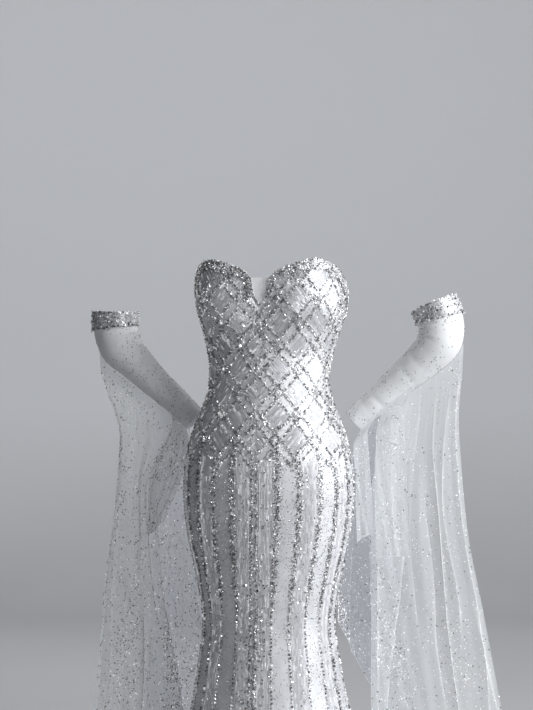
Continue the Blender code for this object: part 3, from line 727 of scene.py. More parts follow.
def zipMetalMaterial():
    material, tree, shader = newMaterial("zip metal")
    scratch = addNode(tree, "ShaderNodeTexNoise", {"Vector": bodyPlace(tree), "Scale": 900, "Detail": 4})
    worn = scratch.outputs["Fac"]
    colour = addMix(tree, worn, (0.66, 0.66, 0.68), (0.88, 0.88, 0.90))
    setInputs(tree, shader, {"Base Color": colour, "Roughness": addScaled(tree, worn, 0.25, 0.12),
                             "Metallic": 1.0})
    addBump(tree, shader, worn, 0.00005, 0.3)
    return material


def zipTapeMaterial():
    material, tree, shader = newMaterial("zip tape")
    rib = addNode(tree, "ShaderNodeTexWave", {"Vector": bodyPlace(tree), "Scale": 220})
    rib.bands_direction = "Z"
    colour = addMix(tree, rib.outputs["Fac"], (0.60, 0.60, 0.62), (0.80, 0.80, 0.82))
    setInputs(tree, shader, {"Base Color": colour, "Roughness": 0.5})
    addBump(tree, shader, rib.outputs["Fac"], 0.0002, 0.6)
    return material


ground, lining, trimGround = groundMaterial(), liningMaterial(), trimGroundMaterial()
nets = {name: netMaterial(name) for name in netFinishes}
print("materials made")


# the seven gores, each a fine shell on its solid's form
gores = {
    # first and last angle from centre front, columns
    "pieces": {"gown_side_front": (37, 90, 26), "gown_side_back": (90, 141, 24), "gown_back": (141, 180, 20)},
    "frontEdge": 37, "frontColumns": 17,        # half of the front gore
    "rowStep": 0.011,
    "bust": 0.045,      # from here the rows follow the neckline
    "topRows": 16,
}


def goreGrid(angles):
    rows = int(round((gores["bust"] - gown["hem"]) / gores["rowStep"]))
    heights = np.linspace(gown["hem"], gores["bust"], rows + 1)
    low = gownPoint(angles[None, :], heights[:, None])
    shares = np.linspace(0, 1, gores["topRows"] + 1)[1:, None]
    high = gownPoint(angles[None, :], gores["bust"] + shares * (neckHeight(angles)[None, :] - gores["bust"]))
    return np.concatenate([low, high])


def makeGores():
    made = {}
    notch = [row[0] for row in gown["neckline"][1:4]]
    half = np.linspace(0, gores["frontEdge"], gores["frontColumns"])
    front = np.unique(np.concatenate([half, notch]))
    spans = {"gown_front_center": np.concatenate([-front[:0:-1], front])}
    for name, (first, last, columns) in gores["pieces"].items():
        spans[f"{name}_left"] = np.linspace(first, last, columns)
        spans[f"{name}_right"] = -np.linspace(last, first, columns)
    for name, angles in spans.items():
        grid = goreGrid(angles)
        piece = clothPiece(f"{name}_panel", grid, gown["wall"], [ground, lining],
                           lined=True)
        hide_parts(name)
        made[name] = (piece, grid)
    return made


gownPanels = makeGores()
print("gores made")


# the beadwork: a regular diamond trellis of straight double lines over the body, a rosette on every
# crossing, and evenly spaced upright lines down the skirt from the trellis' points.
trellis = {
    "wide": 0.078, "tall": 0.092,   # one diamond, measured along the cloth
    "lowest": -0.172,           # the lowest crossings, where the trellis ends in points
    "half": 0.0086,             # half the width of a double line
    "rows": (-4, 10),           # the double lines that it takes to cover the body
    "reach": 0.26,              # more than any way round from the centre to a side
    "lineSpread": 0.0014,       # how far the beads of a line stray to its sides
    "linePitch": 0.0006,
    "fringe": 0.0135,           # how far the lines reach below the lowest crossings
    "petals": 6, "petalOff": 0.0047, "roseSize": 0.0060, "petalSize": 0.0038,
    "step": 15.5,               # degrees from one upright line to the next, counted from the centre
    "uprights": 5,
    "sideLine": 77.5,           # a chain from the armhole to the hem, on both faces of each side
    "kneeHeight": -0.47,
    "flareFrom": -0.74,         # extra lines start here, half way between the others
}
trellis["slope"] = trellis["tall"] / trellis["wide"]


def trellisRows(arc, z):
    # how many falling and rising lines lie under a place; a whole number is a line itself
    up = z - trellis["lowest"]
    return (up + trellis["slope"] * arc) / trellis["tall"], (up - trellis["slope"] * arc) / trellis["tall"]


def skirtTop(arc):
    # zigzag through the lowest crossings, where the trellis gives way to the skirt's upright lines
    wide = trellis["wide"]
    return trellis["lowest"] + trellis["slope"] * np.abs((arc + wide / 2) % wide - wide / 2)


def insideBands(arc, z, room=0.0):
    # on a double line of the trellis, or within this much room of one
    off = np.min([np.abs(row - np.round(row)) for row in trellisRows(arc, z)], axis=0)
    return off * trellis["tall"] / math.hypot(1, trellis["slope"]) < trellis["half"] + room


def fromMiddle(angle):
    # degrees from centre front or centre back, whichever is nearer
    away = np.abs(turnBetween(angle, 0))
    return np.minimum(away, 180 - away)


def columnOf(angle):
    # which strip of the skirt: even ones are filled with bugles, odd ones stay plain
    return np.minimum(fromMiddle(angle) // trellis["step"], trellis["uprights"]).astype(int)


def lineDistance(angle, z):
    # how far along the cloth to the nearest upright line
    away = fromMiddle(angle)
    nearest = np.minimum(np.round(away / trellis["step"]), trellis["uprights"]) * trellis["step"]
    return np.abs(away - nearest) / 90 * halfGirth(1, z) / 2


def keepOnGown(angle, z, below=0.0):
    # clear of the neckline, the hem and the closure
    onCloth = (z < neckHeight(angle) - below) & (z > gown["hem"] + 0.004)
    atZip = (np.abs(turnBetween(angle, 180)) < 1.2) & (z > -0.24)
    return onCloth & ~atZip


def trellisLineBeads(side):
    slope = trellis["slope"]
    stretch = math.hypot(1, slope)
    arcs, heights = [], []
    for row in range(*trellis["rows"]):
        for way in (-1, 1):
            for off in (-trellis["half"], trellis["half"]):
                arc = np.arange(-0.01, trellis["reach"], trellis["linePitch"] / stretch)
                z = trellis["lowest"] + row * trellis["tall"] + way * slope * arc + off * stretch
                stray = rng.normal(0, trellis["lineSpread"], (2, len(arc)))
                arcs.append(arc + stray[0])
                heights.append(z + stray[1])
    arc, z = np.concatenate(arcs), np.concatenate(heights)
    foot = skirtTop(np.abs(arc)) - trellis["fringe"]
    keep = (arc > 0.0015) & (arc < halfGirth(side, z) / 2) & (z > foot) & (z < gown["top"])
    return arc[keep], z[keep]


def rosettes(side, fromBack):
    # a large stone in a ring of smaller ones on every crossing; each side sets its half of the centre ones
    arcs, heights, sizes = [], [], []
    for across in range(1 if fromBack else 0, 7):
        for up in range(across % 2, 10, 2):
            arc, z = across * trellis["wide"] / 2, trellis["lowest"] + up * trellis["tall"] / 2
            if across or side > 0:
                arcs.append(arc)
                heights.append(z)
                sizes.append(trellis["roseSize"])
            for k in range(trellis["petals"]):
                turn = 2 * math.pi * k / trellis["petals"]
                arcs.append(arc + trellis["petalOff"] * math.cos(turn))
                heights.append(z + trellis["petalOff"] * math.sin(turn))
                sizes.append(trellis["petalSize"])
    arc, z, size = np.array(arcs), np.array(heights), np.array(sizes)
    arc, z, size = only((arc >= 0) & (arc < halfGirth(side, z) / 2 - 0.004), arc, z, size)
    return angleAt(side, fromBack, arc, z), z, size


lineBeads = {
    # each kind: pitch, then its smallest and its largest bead
    "dense": (0.00045, (0.0022, 0.0038)),       # little clusters down to the knee
    "single": (0.0072, (0.0042, 0.0055)),       # larger stones below it
    "chain": (0.0013, (0.0022, 0.0036)),        # down each side
    "backChain": (0.0034, (0.0022, 0.0036)),
    "large": (0.0066, (0.0044, 0.0058)),
    "flare": (0.0085, (0.0030, 0.0040)),
    "centre": (0.0009, (0.0021, 0.0034)),
    "centreLarge": (0.0066, (0.0040, 0.0052)),
    "foot": gown["hem"] + 0.01,     # height where the rows of single stones start
    "chainTop": 0.17,
}


def uprightBeads(side, fromBack):
    # the skirt's upright lines, the chain down the side and the extra lines in the flare
    (densePitch, denseSizes), (singlePitch, singleSizes) = lineBeads["dense"], lineBeads["single"]
    chainPitch, chainSizes = lineBeads["backChain" if fromBack else "chain"]
    (largePitch, largeSizes), (flarePitch, flareSizes) = lineBeads["large"], lineBeads["flare"]
    knee, foot, chainTop = trellis["kneeHeight"], lineBeads["foot"], lineBeads["chainTop"]
    top = trellis["lowest"] + trellis["tall"] / 2
    angles, heights, sizes = [], [], []
    for k in range(trellis["uprights"]):
        at = trellis["step"] * (k + 1)
        dense = rng.uniform(knee, top, int((top - knee) / densePitch))
        single = np.arange(foot, knee, singlePitch)
        single = single + rng.normal(0, 0.0008, len(single))
        angles += [np.full(len(dense), at), np.full(len(single), at)]
        heights += [dense, single]
        sizes += [rng.uniform(*denseSizes, len(dense)), rng.uniform(*singleSizes, len(single))]
    chain = rng.uniform(gown["hem"], chainTop, int((chainTop - gown["hem"]) / chainPitch))
    large = np.arange(foot, chainTop, largePitch)
    large = large + rng.normal(0, 0.0012, len(large))
    angles += [np.full(len(chain), trellis["sideLine"]), np.full(len(large), trellis["sideLine"] + 2)]
    heights += [chain, large]
    sizes += [rng.uniform(*chainSizes, len(chain)), rng.uniform(*largeSizes, len(large))]
    for k in range(trellis["uprights"]):
        flare = np.arange(foot, trellis["flareFrom"], flarePitch)
        angles.append(np.full(len(flare), trellis["step"] * (k + 0.5)))
        heights.append(flare)
        sizes.append(rng.uniform(*flareSizes, len(flare)))
    angle, z, size = np.concatenate(angles), np.concatenate(heights), np.concatenate(sizes)
    spread = 0.0007 + 0.0026 * ease((z - knee) / 0.05)      # the lines are wider above the knee
    onChain = np.abs(angle - trellis["sideLine"] - 1) < 1.01
    angle = angle + np.degrees(rng.normal(0, 1, len(z)) * spread / 0.15)
    arc = np.interp(angle, [0, 90], [0, 1]) * halfGirth(side, z) / 2
    angle, z, size = only(onChain | (z < skirtTop(arc) - 0.008), angle, z, size)
    return side * (180 - angle if fromBack else angle), z, size


def centreBeads(side, fromBack):
    # the double line down the middle of the front, and beside the closure at the back
    (pitch, sizes), (largePitch, largeSizes) = lineBeads["centre"], lineBeads["centreLarge"]
    off, top = (0.0062, 0.090) if fromBack else (0.0048, trellis["lowest"] - 0.012)
    dense = rng.uniform(gown["hem"] + 0.006, top, int((top - gown["hem"]) / pitch))
    z = np.concatenate([dense, np.arange(lineBeads["foot"], trellis["kneeHeight"], largePitch)])
    thick = np.arange(len(z)) < len(dense)
    arc = off + rng.normal(0, 1, len(z)) * np.where(thick, 0.0017, 0.0006)
    size = np.where(thick, rng.uniform(*sizes, len(z)), rng.uniform(*largeSizes, len(z)))
    return angleAt(side, fromBack, np.abs(arc), z), z, size


scattered = {
    # how many places are tried on each quarter of the gown; only some of them get a bead
    "frontSeeds": 30000, "backSeeds": 26000, "sequins": 2200,
    "upperSequins": 46,         # under the neckline
    "rowPitch": 0.0105, "rowArcs": (0.011, 0.021), "rowTop": -0.40,     # two rows down the middle strip
    "sequinSizes": (0.0034, 0.0048), "upperSizes": (0.0030, 0.0042), "rowSizes": (0.0040, 0.0058),
}


def scatteredSeeds(side, fromBack):
    # seed beads: thickly inside the bands, thinly over the plain strips and the rest
    z = rng.uniform(gown["hem"], 0.235, scattered["backSeeds"] if fromBack else scattered["frontSeeds"])
    arc = rng.random(len(z)) * 0.48
    z, arc = only(arc < halfGirth(side, z) / 2, z, arc)
    angle = angleAt(side, fromBack, arc, z)
    plain = columnOf(angle) % 2 == 1
    byLine = bump(lineDistance(angle, z), 0.0085)
    high = ease((z + 0.44) / 0.16)
    chance = np.where(plain, 0.26 + 0.55 * byLine + 0.45 * high, 0.10 + 0.45 * byLine + 0.15 * high)
    onBody = np.where(insideBands(arc, z, 0.001), 0.8, 0.25)
    chance = np.where(z < skirtTop(arc), chance, onBody)
    atSide = ease((np.abs(turnBetween(angle, 0)) - 35) / 40)
    chance = chance * np.where(z < -0.70, 0.6, 1.0) + 0.45 * atSide
    chosen = (rng.random(len(z)) < chance) & keepOnGown(angle, z, 0.003)
    return angle[chosen], z[chosen]


def scatteredSequins(side, fromBack):
    # in the filled strips, thickest under the neckline, and in rows down the middle strip
    z = rng.uniform(-1.09, 0.2, scattered["sequins"])
    arc = rng.random(len(z)) * 0.47
    size = rng.uniform(*scattered["sequinSizes"], len(z))
    keep = (arc < halfGirth(side, z) / 2) & (columnOf(angleAt(side, fromBack, arc, z)) % 2 == 0)
    few = scattered["upperSequins"]
    upper = rng.uniform(0.03, 0.17, few)
    rows = np.arange(gown["hem"] + 0.02, scattered["rowTop"], scattered["rowPitch"])
    inRows = 2 * len(rows)
    z = np.concatenate([z[keep], upper, rows, rows])
    upperArc = np.abs(rng.normal(0, 0.026, few))
    arc = np.concatenate([arc[keep], upperArc, np.repeat(scattered["rowArcs"], len(rows))])
    arc[-inRows:] += rng.normal(0, 0.0022, inRows)
    z[-inRows:] += rng.normal(0, 0.0030, inRows)
    upperSize = rng.uniform(*scattered["upperSizes"], few)
    size = np.concatenate([size[keep], upperSize, rng.uniform(*scattered["rowSizes"], inRows)])
    angle = angleAt(side, fromBack, arc, z)
    return only(keepOnGown(angle, z, 0.018), angle, z, size)


bugles = {
    "width": 0.0023,
    "fieldPitch": 0.0023, "fieldLength": 0.0098, "fieldGap": 0.0006,
    "stripPitch": 0.0024, "stripLength": 0.0104, "stripGap": 0.0001,
    "block": 0.105,             # height of one block of strings in the skirt's strips
    "thinBelow": -0.78,         # fewer strings in the flare
}


def bugleFields(side, fromBack):
    # the two ends of each bugle in the diamonds: falling and rising rows take turns
    pitch, length = bugles["fieldPitch"], bugles["fieldLength"]
    strings = np.arange(-0.45, 0.45, pitch)
    steps = np.arange(-0.60, 0.60, length + bugles["fieldGap"])
    found = []
    for number, way in enumerate((-1, 1)):
        along = np.array([1.0, way * trellis["slope"]]) / math.hypot(1, trellis["slope"])
        across = np.array([-along[1], along[0]])
        i, j = np.meshgrid(np.arange(len(strings)), np.arange(len(steps)), indexing="ij")
        shift = np.random.default_rng(number + 3).random(len(strings))[i] * length
        arc = strings[i] * across[0] + (steps[j] + shift) * along[0]
        z = strings[i] * across[1] + (steps[j] + shift) * along[1]
        i, arc, z = i.ravel(), arc.ravel(), z.ravel()
        safe = np.maximum(arc, 0)
        row = np.floor(trellisRows(safe, z)[0]) % 2
        keep = ((arc > 0.0036) & (arc < halfGirth(side, z) / 2 - 0.002) & (z > skirtTop(safe) + 0.002)
                & (z < 0.23) & (row == number) & ~insideBands(safe, z, 0.002))
        arc, z, i = only(keep, arc, z, i)
        streak = np.random.default_rng(number + 17).random(len(strings))[i]
        found.append((arc, z, np.full(len(arc), along[0]), np.full(len(arc), along[1]), streak))
    arc, z, acrossShare, upShare, streak = joinPlaces(found)
    aside, rise = acrossShare * (length / 2), upShare * (length / 2)
    low, high = z - rise, z + rise
    first = angleAt(side, fromBack, np.maximum(arc - aside, 0), low)
    last = angleAt(side, fromBack, np.maximum(arc + aside, 0), high)
    keep = keepOnGown(first, low, 0.012) & keepOnGown(last, high, 0.012)
    tone = np.clip(0.22 + 0.58 * streak + rng.normal(0, 0.12, len(z)), 0, 1)
    tone[rng.random(len(z)) < 0.05] = 1.0       # a few get the clearest tone, which glows with the full painted glint
    return only(keep, first, low, last, high, tone)


def bugleColumns(side, fromBack):
    # upright strings of bugles in every second strip of the skirt
    pitch, length, block = bugles["stripPitch"], bugles["stripLength"], bugles["block"]
    found = []
    for k in range(0, trellis["uprights"], 2):
        for b, foot in enumerate(np.arange(gown["hem"] + 0.006, trellis["lowest"], block)):
            steps = foot + np.arange(int(block / length)) * (length + bugles["stripGap"])
            middle = foot + block / 2
            wide = trellis["step"] / 90 * halfGirth(side, middle) / 2
            count = max(int((wide - 0.006) / pitch), 1)
            if middle < bugles["thinBelow"]:
                count = int(count * 0.8)
            share, z = np.meshgrid((np.arange(count) + 0.5) / count, steps, indexing="ij")
            z = z + (np.random.default_rng(k * 40 + b).random(count) * length)[:, None] * 0.5
            margin = 0.0034 / np.maximum(wide, 0.01)
            share = margin + share * (1 - 2 * margin)
            coarse = waves(share * wide + k, 5 + k, 0.0042)
            fine = waves(share * wide + z * 0.02, 31 + k, 0.0016)
            streak = coarse * 0.75 + fine * 0.25
            found.append([one.ravel() for one in ((k + share) * trellis["step"], z, streak)])
    angle, z, streak = joinPlaces(found)
    arc = angle / 90 * halfGirth(side, z) / 2
    angle, z, streak = only((z + length < skirtTop(arc) - 0.013) & (arc > 0.0075), angle, z, streak)
    tone = np.clip(0.56 + 0.44 * streak + rng.normal(0, 0.10, len(z)), 0, 1)
    # a few get the clearest tone, which glows with the full painted glint
    tone[rng.random(len(z)) < 0.012] = 1.0
    angle = side * (180 - angle if fromBack else angle)
    return angle, z, angle, z + length - 0.0005, tone


def buglePlaces(first, lowZ, last, highZ, tone):
    low, high = gownPoint(first, lowZ), gownPoint(last, highZ)
    normal = gownNormal((first + last) / 2, (lowZ + highZ) / 2)
    along = high - low
    aside = unit(np.cross(normal, along))
    up = np.cross(unit(along), aside)
    roll = np.radians(rng.normal(0, 19, len(tone)))[:, None]
    aside, up = aside * np.cos(roll) + up * np.sin(roll), up * np.cos(roll) - aside * np.sin(roll)
    middle = (low + high) / 2 + normal * (gown["wall"] / 2 + 0.0002)
    return middle, along, aside * bugles["width"], up * bugles["width"], tone


def roomFor(points, least):
    # drops every bead that would sit on one already sewn
    kept, taken = [], {}
    cell = np.floor(points / least).astype(int)
    near = [(i, j, k) for i in (-1, 0, 1) for j in (-1, 0, 1) for k in (-1, 0, 1)]
    for index, (a, b, c) in enumerate(cell.tolist()):
        p = points[index]
        clash = False
        for i, j, k in near:
            for other in taken.get((a + i, b + j, c + k), ()):
                q = points[other]
                if (p[0] - q[0]) ** 2 + (p[1] - q[1]) ** 2 + (p[2] - q[2]) ** 2 < least * least:
                    clash = True
                    break
            if clash:
                break
        if not clash:
            taken.setdefault((a, b, c), []).append(index)
            kept.append(index)
    return np.array(kept, int)


def lineStones(side, back):
    # trellis, upright and centre lines and the rosettes, with the largest stones placed first
    arc, z = trellisLineBeads(side)
    angle = angleAt(side, back, arc, z)
    size = np.where(rng.random(len(z)) < 0.16, rng.uniform(0.0036, 0.0046, len(z)),
                    rng.uniform(0.0021, 0.0034, len(z)))
    tone = rng.random(len(z))
    up, middle, rose = uprightBeads(side, back), centreBeads(side, back), rosettes(side, back)
    lineTone = rng.random(len(up[1]) + len(middle[1])) ** 1.4
    roseTone = rng.uniform(0.45, 1, len(rose[1]))
    tone = np.concatenate([tone, lineTone, roseTone])
    angle, z, size = joinPlaces([(angle, z, size), up, middle, rose])
    angle, z, size, tone = only(keepOnGown(angle, z, 0.004), angle, z, size, tone)
    angle, z, size, tone = only(np.argsort(-size, kind="stable"), angle, z, size, tone)
    points = gownPoint(angle, z)
    angle, z, size, points, tone = only(roomFor(points, 0.0021), angle, z, size, points, tone)
    return setBeads(points, gownNormal(angle, z), size, 0.0004 + 0.30 * size[:, None], tone, 20, 1.25)


def seedsOnGown(side, back):
    angle, z = scatteredSeeds(side, back)
    return sewOnGown(angle, z, rng.uniform(0.0016, 0.0026, len(z)), 0.0010, rng.random(len(z)), 16)


def sequinsOnGown(side, back):
    angle, z, size = scatteredSequins(side, back)
    return sewOnGown(angle, z, size, 0.0022, rng.random(len(z)), 20)


def fieldsOnGown(side, back):
    return buglePlaces(*bugleFields(side, back))


def stripsOnGown(side, back):
    return buglePlaces(*bugleColumns(side, back))


def makeBeadwork():
    # kind, places, bead shape, finish, smooth
    kinds = (
        ("stones", lineStones, cutStone(), "crystal", False),
        ("seeds", seedsOnGown, pointedBead(4), "seed", False),
        ("bugle_fields", fieldsOnGown, bugle(), "bugle", True),
        ("bugle_strips", stripsOnGown, bugle(), "bugle", True),
        ("sequins", sequinsOnGown, sequin(), "sequin", False),
    )
    made = {}
    for face, back in (("front", False), ("back", True)):
        halves = [[places(side, back) for _, places, *_ in kinds] for side in (1, -1)]
        made[face] = [
            beadPiece(f"gown_{face}_{kind}", shape, joinPlaces(parts), beads[finish], smooth)
            for (kind, _, shape, finish, smooth), parts in zip(kinds, zip(*halves))]
    return made


beadwork = makeBeadwork()
for name, (piece, grid) in gownPanels.items():
    declareCloth(piece, grid)
print("beadwork made")


# crystal trim along the neckline
neckTrim = {
    "width": 0.017, "narrow": 0.005,        # full width, and at the notch
    "fullAngle": 28,            # from here on it has its full width
    "rise": 0.0010, "lift": 0.0014,         # above the gown's edge, off its face
    "wall": 0.0020, "radius": 0.125,
    "runs": {"front": (4.6, 89.9), "back": (90.1, 177.6)},      # first and last angle
    "step": 1.2, "rows": 5,
    "pitch": 0.0026, "stoneSizes": (0.0025, 0.0041),
}


def trimGrid(first, last, side):
    trim = neckTrim
    perDegree = math.radians(trim["radius"])
    corners = np.array([row[0] for row in gown["neckline"]], float)
    corners = corners[(corners > first) & (corners < last)]
    angles = np.unique(np.concatenate([np.arange(first, last, trim["step"]), [last], corners]))
    edge = np.stack([angles * perDegree, neckHeight(angles)], -1)
    run = np.concatenate([edge[1:], edge[-1:]]) - np.concatenate([edge[:1], edge[:-1]])
    inward = unit(np.stack([run[:, 1], -run[:, 0]], -1))
    wide = trim["narrow"] + (trim["width"] - trim["narrow"]) * ease(angles / trim["fullAngle"])
    off = (gown["wall"] + trim["wall"]) / 2 + trim["lift"]
    rows = []
    for share in np.linspace(1, 0, trim["rows"]):
        place = edge + inward * (share * (wide + trim["rise"]) - trim["rise"])[:, None]
        angle, z = side * place[:, 0] / perDegree, place[:, 1]
        rows.append(gownPoint(angle, z) + gownNormal(angle, z) * off)
    return np.array(rows)


def onGrid(grid, u, v):
    # place and outward normal on a grid, u along its columns and v along its rows, both 0 to 1
    rows, columns = grid.shape[:2]
    x, y = np.clip(u, 0, 1) * (columns - 1), np.clip(v, 0, 1) * (rows - 1)
    c, r = np.minimum(x.astype(int), columns - 2), np.minimum(y.astype(int), rows - 2)
    fx, fy = (x - c)[:, None], (y - r)[:, None]
    a, b, d, e = grid[r, c], grid[r, c + 1], grid[r + 1, c], grid[r + 1, c + 1]
    point = (a * (1 - fx) + b * fx) * (1 - fy) + (d * (1 - fx) + e * fx) * fy
    across = (b - a) * (1 - fy) + (e - d) * fy
    up = (d - a) * (1 - fx) + (e - b) * fx
    return point, unit(np.cross(across, up))


def faceOut(normals, outward):
    # turns each normal to the side that its outward direction is on
    return normals * np.sign((normals * outward).sum(1))[:, None]


def onBand(grid, u, v, outward):
    # places on a band and a little past its two edges, with normals that face outward
    points, normals = onGrid(grid, u, v)
    across = onGrid(grid, u, v * 0 + 1)[0] - onGrid(grid, u, v * 0)[0]
    points = points + (v - np.clip(v, 0, 1))[:, None] * across
    return points, faceOut(normals, outward(points))


def stripStones(grid, pitch, sizes, lift, outward, spill=0.11):
    # stones packed at random over a strip of trim
    wide = np.linalg.norm(grid[-1] - grid[0], axis=1)
    patch = stepLengths(grid.mean(0), 0) * (wide[1:] + wide[:-1]) / 2
    filled = np.concatenate([[0], np.cumsum(patch)])
    count = int(filled[-1] / pitch**2 * 3.4)
    u = np.interp(rng.random(count) * filled[-1], filled, np.linspace(0, 1, len(filled)))
    v = rng.random(count) * (1 + 2 * spill) - spill
    points, normals = onBand(grid, u, v, outward)
    points, normals = only(roomFor(points, pitch * 0.86), points, normals)
    size = rng.uniform(*sizes, len(points))
    return setBeads(points, normals, size, lift, rng.random(len(points)), 20, 1.1)


def rowStones(grid, rows, pitch, sizes, seedSizes, outward):
    # rows of stones round a band, none quite even, with seed beads sewn between them
    girth, high = stepLengths(grid[0], 0).sum(), np.linalg.norm(grid[-1, 0] - grid[0, 0])
    count, seeds = int(girth / pitch), int(girth * high / pitch**2 * 2.2)
    places = [((np.arange(count) + rng.uniform(-0.3, 0.3, count)) / count) % 1 for row in rows]
    u = np.concatenate(places + [rng.random(seeds)])
    v = np.concatenate([row + rng.normal(0, 0.035, count) for row in rows] + [rng.random(seeds)])
    size = np.concatenate([rng.uniform(*sizes, count * len(rows)), rng.uniform(*seedSizes, seeds)])
    points, normals = onBand(grid, u, v, outward)
    points, normals, size = only(roomFor(points, pitch * 0.48), points, normals, size)
    lift = 0.0005 + 0.22 * size[:, None]
    return setBeads(points, normals, size, lift, rng.random(len(points)), 16, 1.1)


def fromGown(points):
    # level direction away from the middle of the bodice
    return np.stack([points[:, 0], points[:, 1] - 0.03, np.zeros(len(points))], -1)


def makeNeckTrim():
    for run, (first, last) in neckTrim["runs"].items():
        for name, side in (("left", 1), ("right", -1)):
            grid = trimGrid(first, last, side)
            node = f"neck_trim_{run}_{name}"
            piece = clothPiece(f"{node}_band", grid, neckTrim["wall"], trimGround)
            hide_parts(node)
            packed = stripStones(grid, neckTrim["pitch"], neckTrim["stoneSizes"], 0.0012, fromGown)
            stones = beadPiece(f"{node}_stones", cutStone(), packed, beads["crystal"])
            declareCloth(piece, grid)


makeNeckTrim()
print("neck trim made")


# net in the deep notch of the neckline
notchNet = {
    "foot": 5.6, "head": 7.5, "clear": 0.25,        # half angles at the foot and the head, less a gap
    "top": 0.192, "gap": 0.0008, "wall": 0.0008, "rows": 14, "columns": 17,
    "stoneAngle": 6.0, "stones": 34, "stoneRows": (0.0012, 0.0040),     # depth below the edge
}


def makeNotchNet():
    net = notchNet
    share = np.linspace(-1, 1, net["columns"])[None, :]
    up = np.linspace(0, 1, net["rows"])[:, None]
    reach = net["foot"] + (net["head"] - net["foot"]) * up - net["clear"]
    foot = neckHeight(share * (net["foot"] - net["clear"])) + net["gap"]
    grid = gownPoint(share * reach, foot + (net["top"] - foot) * up)
    piece = clothPiece("notch_net", grid, net["wall"], nets["notch net"])
    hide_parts("notch_insert")
    declareCloth(piece, grid)


makeNotchNet()


def makeNotchStones():
    # two close rows of small stones along the notch's edge
    edge = notchNet["stoneAngle"]
    angles = np.linspace(-edge, edge, notchNet["stones"])
    parts = []
    for below in notchNet["stoneRows"]:
        angle = angles + np.degrees(rng.normal(0, 0.0003, len(angles)) / 0.1)
        z = neckHeight(angle) - below - rng.random(len(angle)) * 0.0008
        size = rng.uniform(0.0022, 0.0032, len(z))
        parts.append(sewOnGown(angle, z, size, 0.0012, rng.random(len(z)), 18, 1.2))
    beadPiece("notch_edge_stones", cutStone(), joinPlaces(parts), beads["crystal"])


makeNotchStones()
print("notch net made")


# sleeves: from over the elbow to the wrist, with a crystal cuff at the top
forearms = {
    # share of the length, distance from the middle, height, radius
    "left": [(0.00, 0.322, 0.144, 0.0430), (0.13, 0.336, 0.108, 0.0450), (0.26, 0.334, 0.070, 0.0450),
             (0.42, 0.304, 0.033, 0.0375), (0.61, 0.258, -0.007, 0.0310), (0.80, 0.210, -0.049, 0.0268),
             (1.00, 0.162, -0.092, 0.0240)],
    "right": [(0.00, 0.344, 0.130, 0.0435), (0.13, 0.344, 0.095, 0.0450), (0.26, 0.333, 0.059, 0.0450),
              (0.42, 0.303, 0.026, 0.0375), (0.61, 0.263, -0.012, 0.0315), (0.80, 0.218, -0.051, 0.0275),
              (1.00, 0.171, -0.094, 0.0245)],
}
sleeve = {
    "y": 0.070, "wall": 0.0008, "rows": 90, "sides": 48,
    # small creases of the net at the bend and the wrist: share, roll round the arm, length, round, depth
    "creases": [
        (0.19, 205, 0.014, 60, -0.0034), (0.235, 160, 0.012, 50, 0.0022), (0.28, 190, 0.014, 70, -0.0036),
        (0.325, 230, 0.012, 50, 0.0016), (0.37, 200, 0.016, 60, -0.0024), (0.15, 100, 0.012, 50, -0.0018),
        (0.22, 20, 0.022, 50, -0.0014), (0.46, 110, 0.024, 45, -0.0013), (0.56, 90, 0.020, 50, -0.0011),
        (0.68, 260, 0.024, 60, -0.0013), (0.80, 60, 0.016, 80, -0.0014), (0.88, 180, 0.012, 90, -0.0014),
        (0.94, 300, 0.012, 90, -0.0013),
    ],
    # stones in loose clumps, and some on their own
    "clumps": 46, "clumpStones": 330, "looseStones": 170, "stoneSizes": (0.0016, 0.0029),
}
cuffs = {
    "height": 0.034, "wall": 0.0024, "off": 0.0036, "sides": 60, "pitch": 0.0054,
    "stoneRows": (0.04, 0.34, 0.64, 0.96), "stoneSizes": (0.0036, 0.0052), "seedSizes": (0.0018, 0.0027),
}


def armAt(side, share):
    # middle, way to the underside and radius of a forearm
    rows, sign = forearms[side], 1 if side == "left" else -1
    share = np.atleast_1d(np.asarray(share, float))

    def centre(s):
        s = np.clip(s, 0, 1)
        return np.stack([sign * columnAt(rows, 1, s), np.full(len(s), sleeve["y"]), columnAt(rows, 2, s)], -1)

    run = unit(centre(share + 0.01) - centre(share - 0.01))
    under = unit(np.cross(run, np.array([0.0, 1.0, 0.0])))
    under = under * np.sign(under[:, :1] * sign)
    return centre(share), under, columnAt(rows, 3, share)


def sleeveGrid(side, shares, sides, off, creased=False):
    centre, under, radius = armAt(side, shares)
    turn = np.linspace(0, 2 * math.pi, sides, endpoint=False)
    spin = under[:, None] * np.cos(turn)[None, :, None] - np.array([0, 1, 0]) * np.sin(turn)[None, :, None]
    reach = np.repeat((radius + off)[:, None], sides, 1)
    if creased:
        for at, roll, long, wide, depth in sleeve["creases"]:
            away = turnBetween(np.degrees(turn)[None, :], roll)
            reach = reach + depth * bump(shares[:, None] - at, long) * bump(away, wide)
    return centre[:, None] + spin * reach[:, :, None]


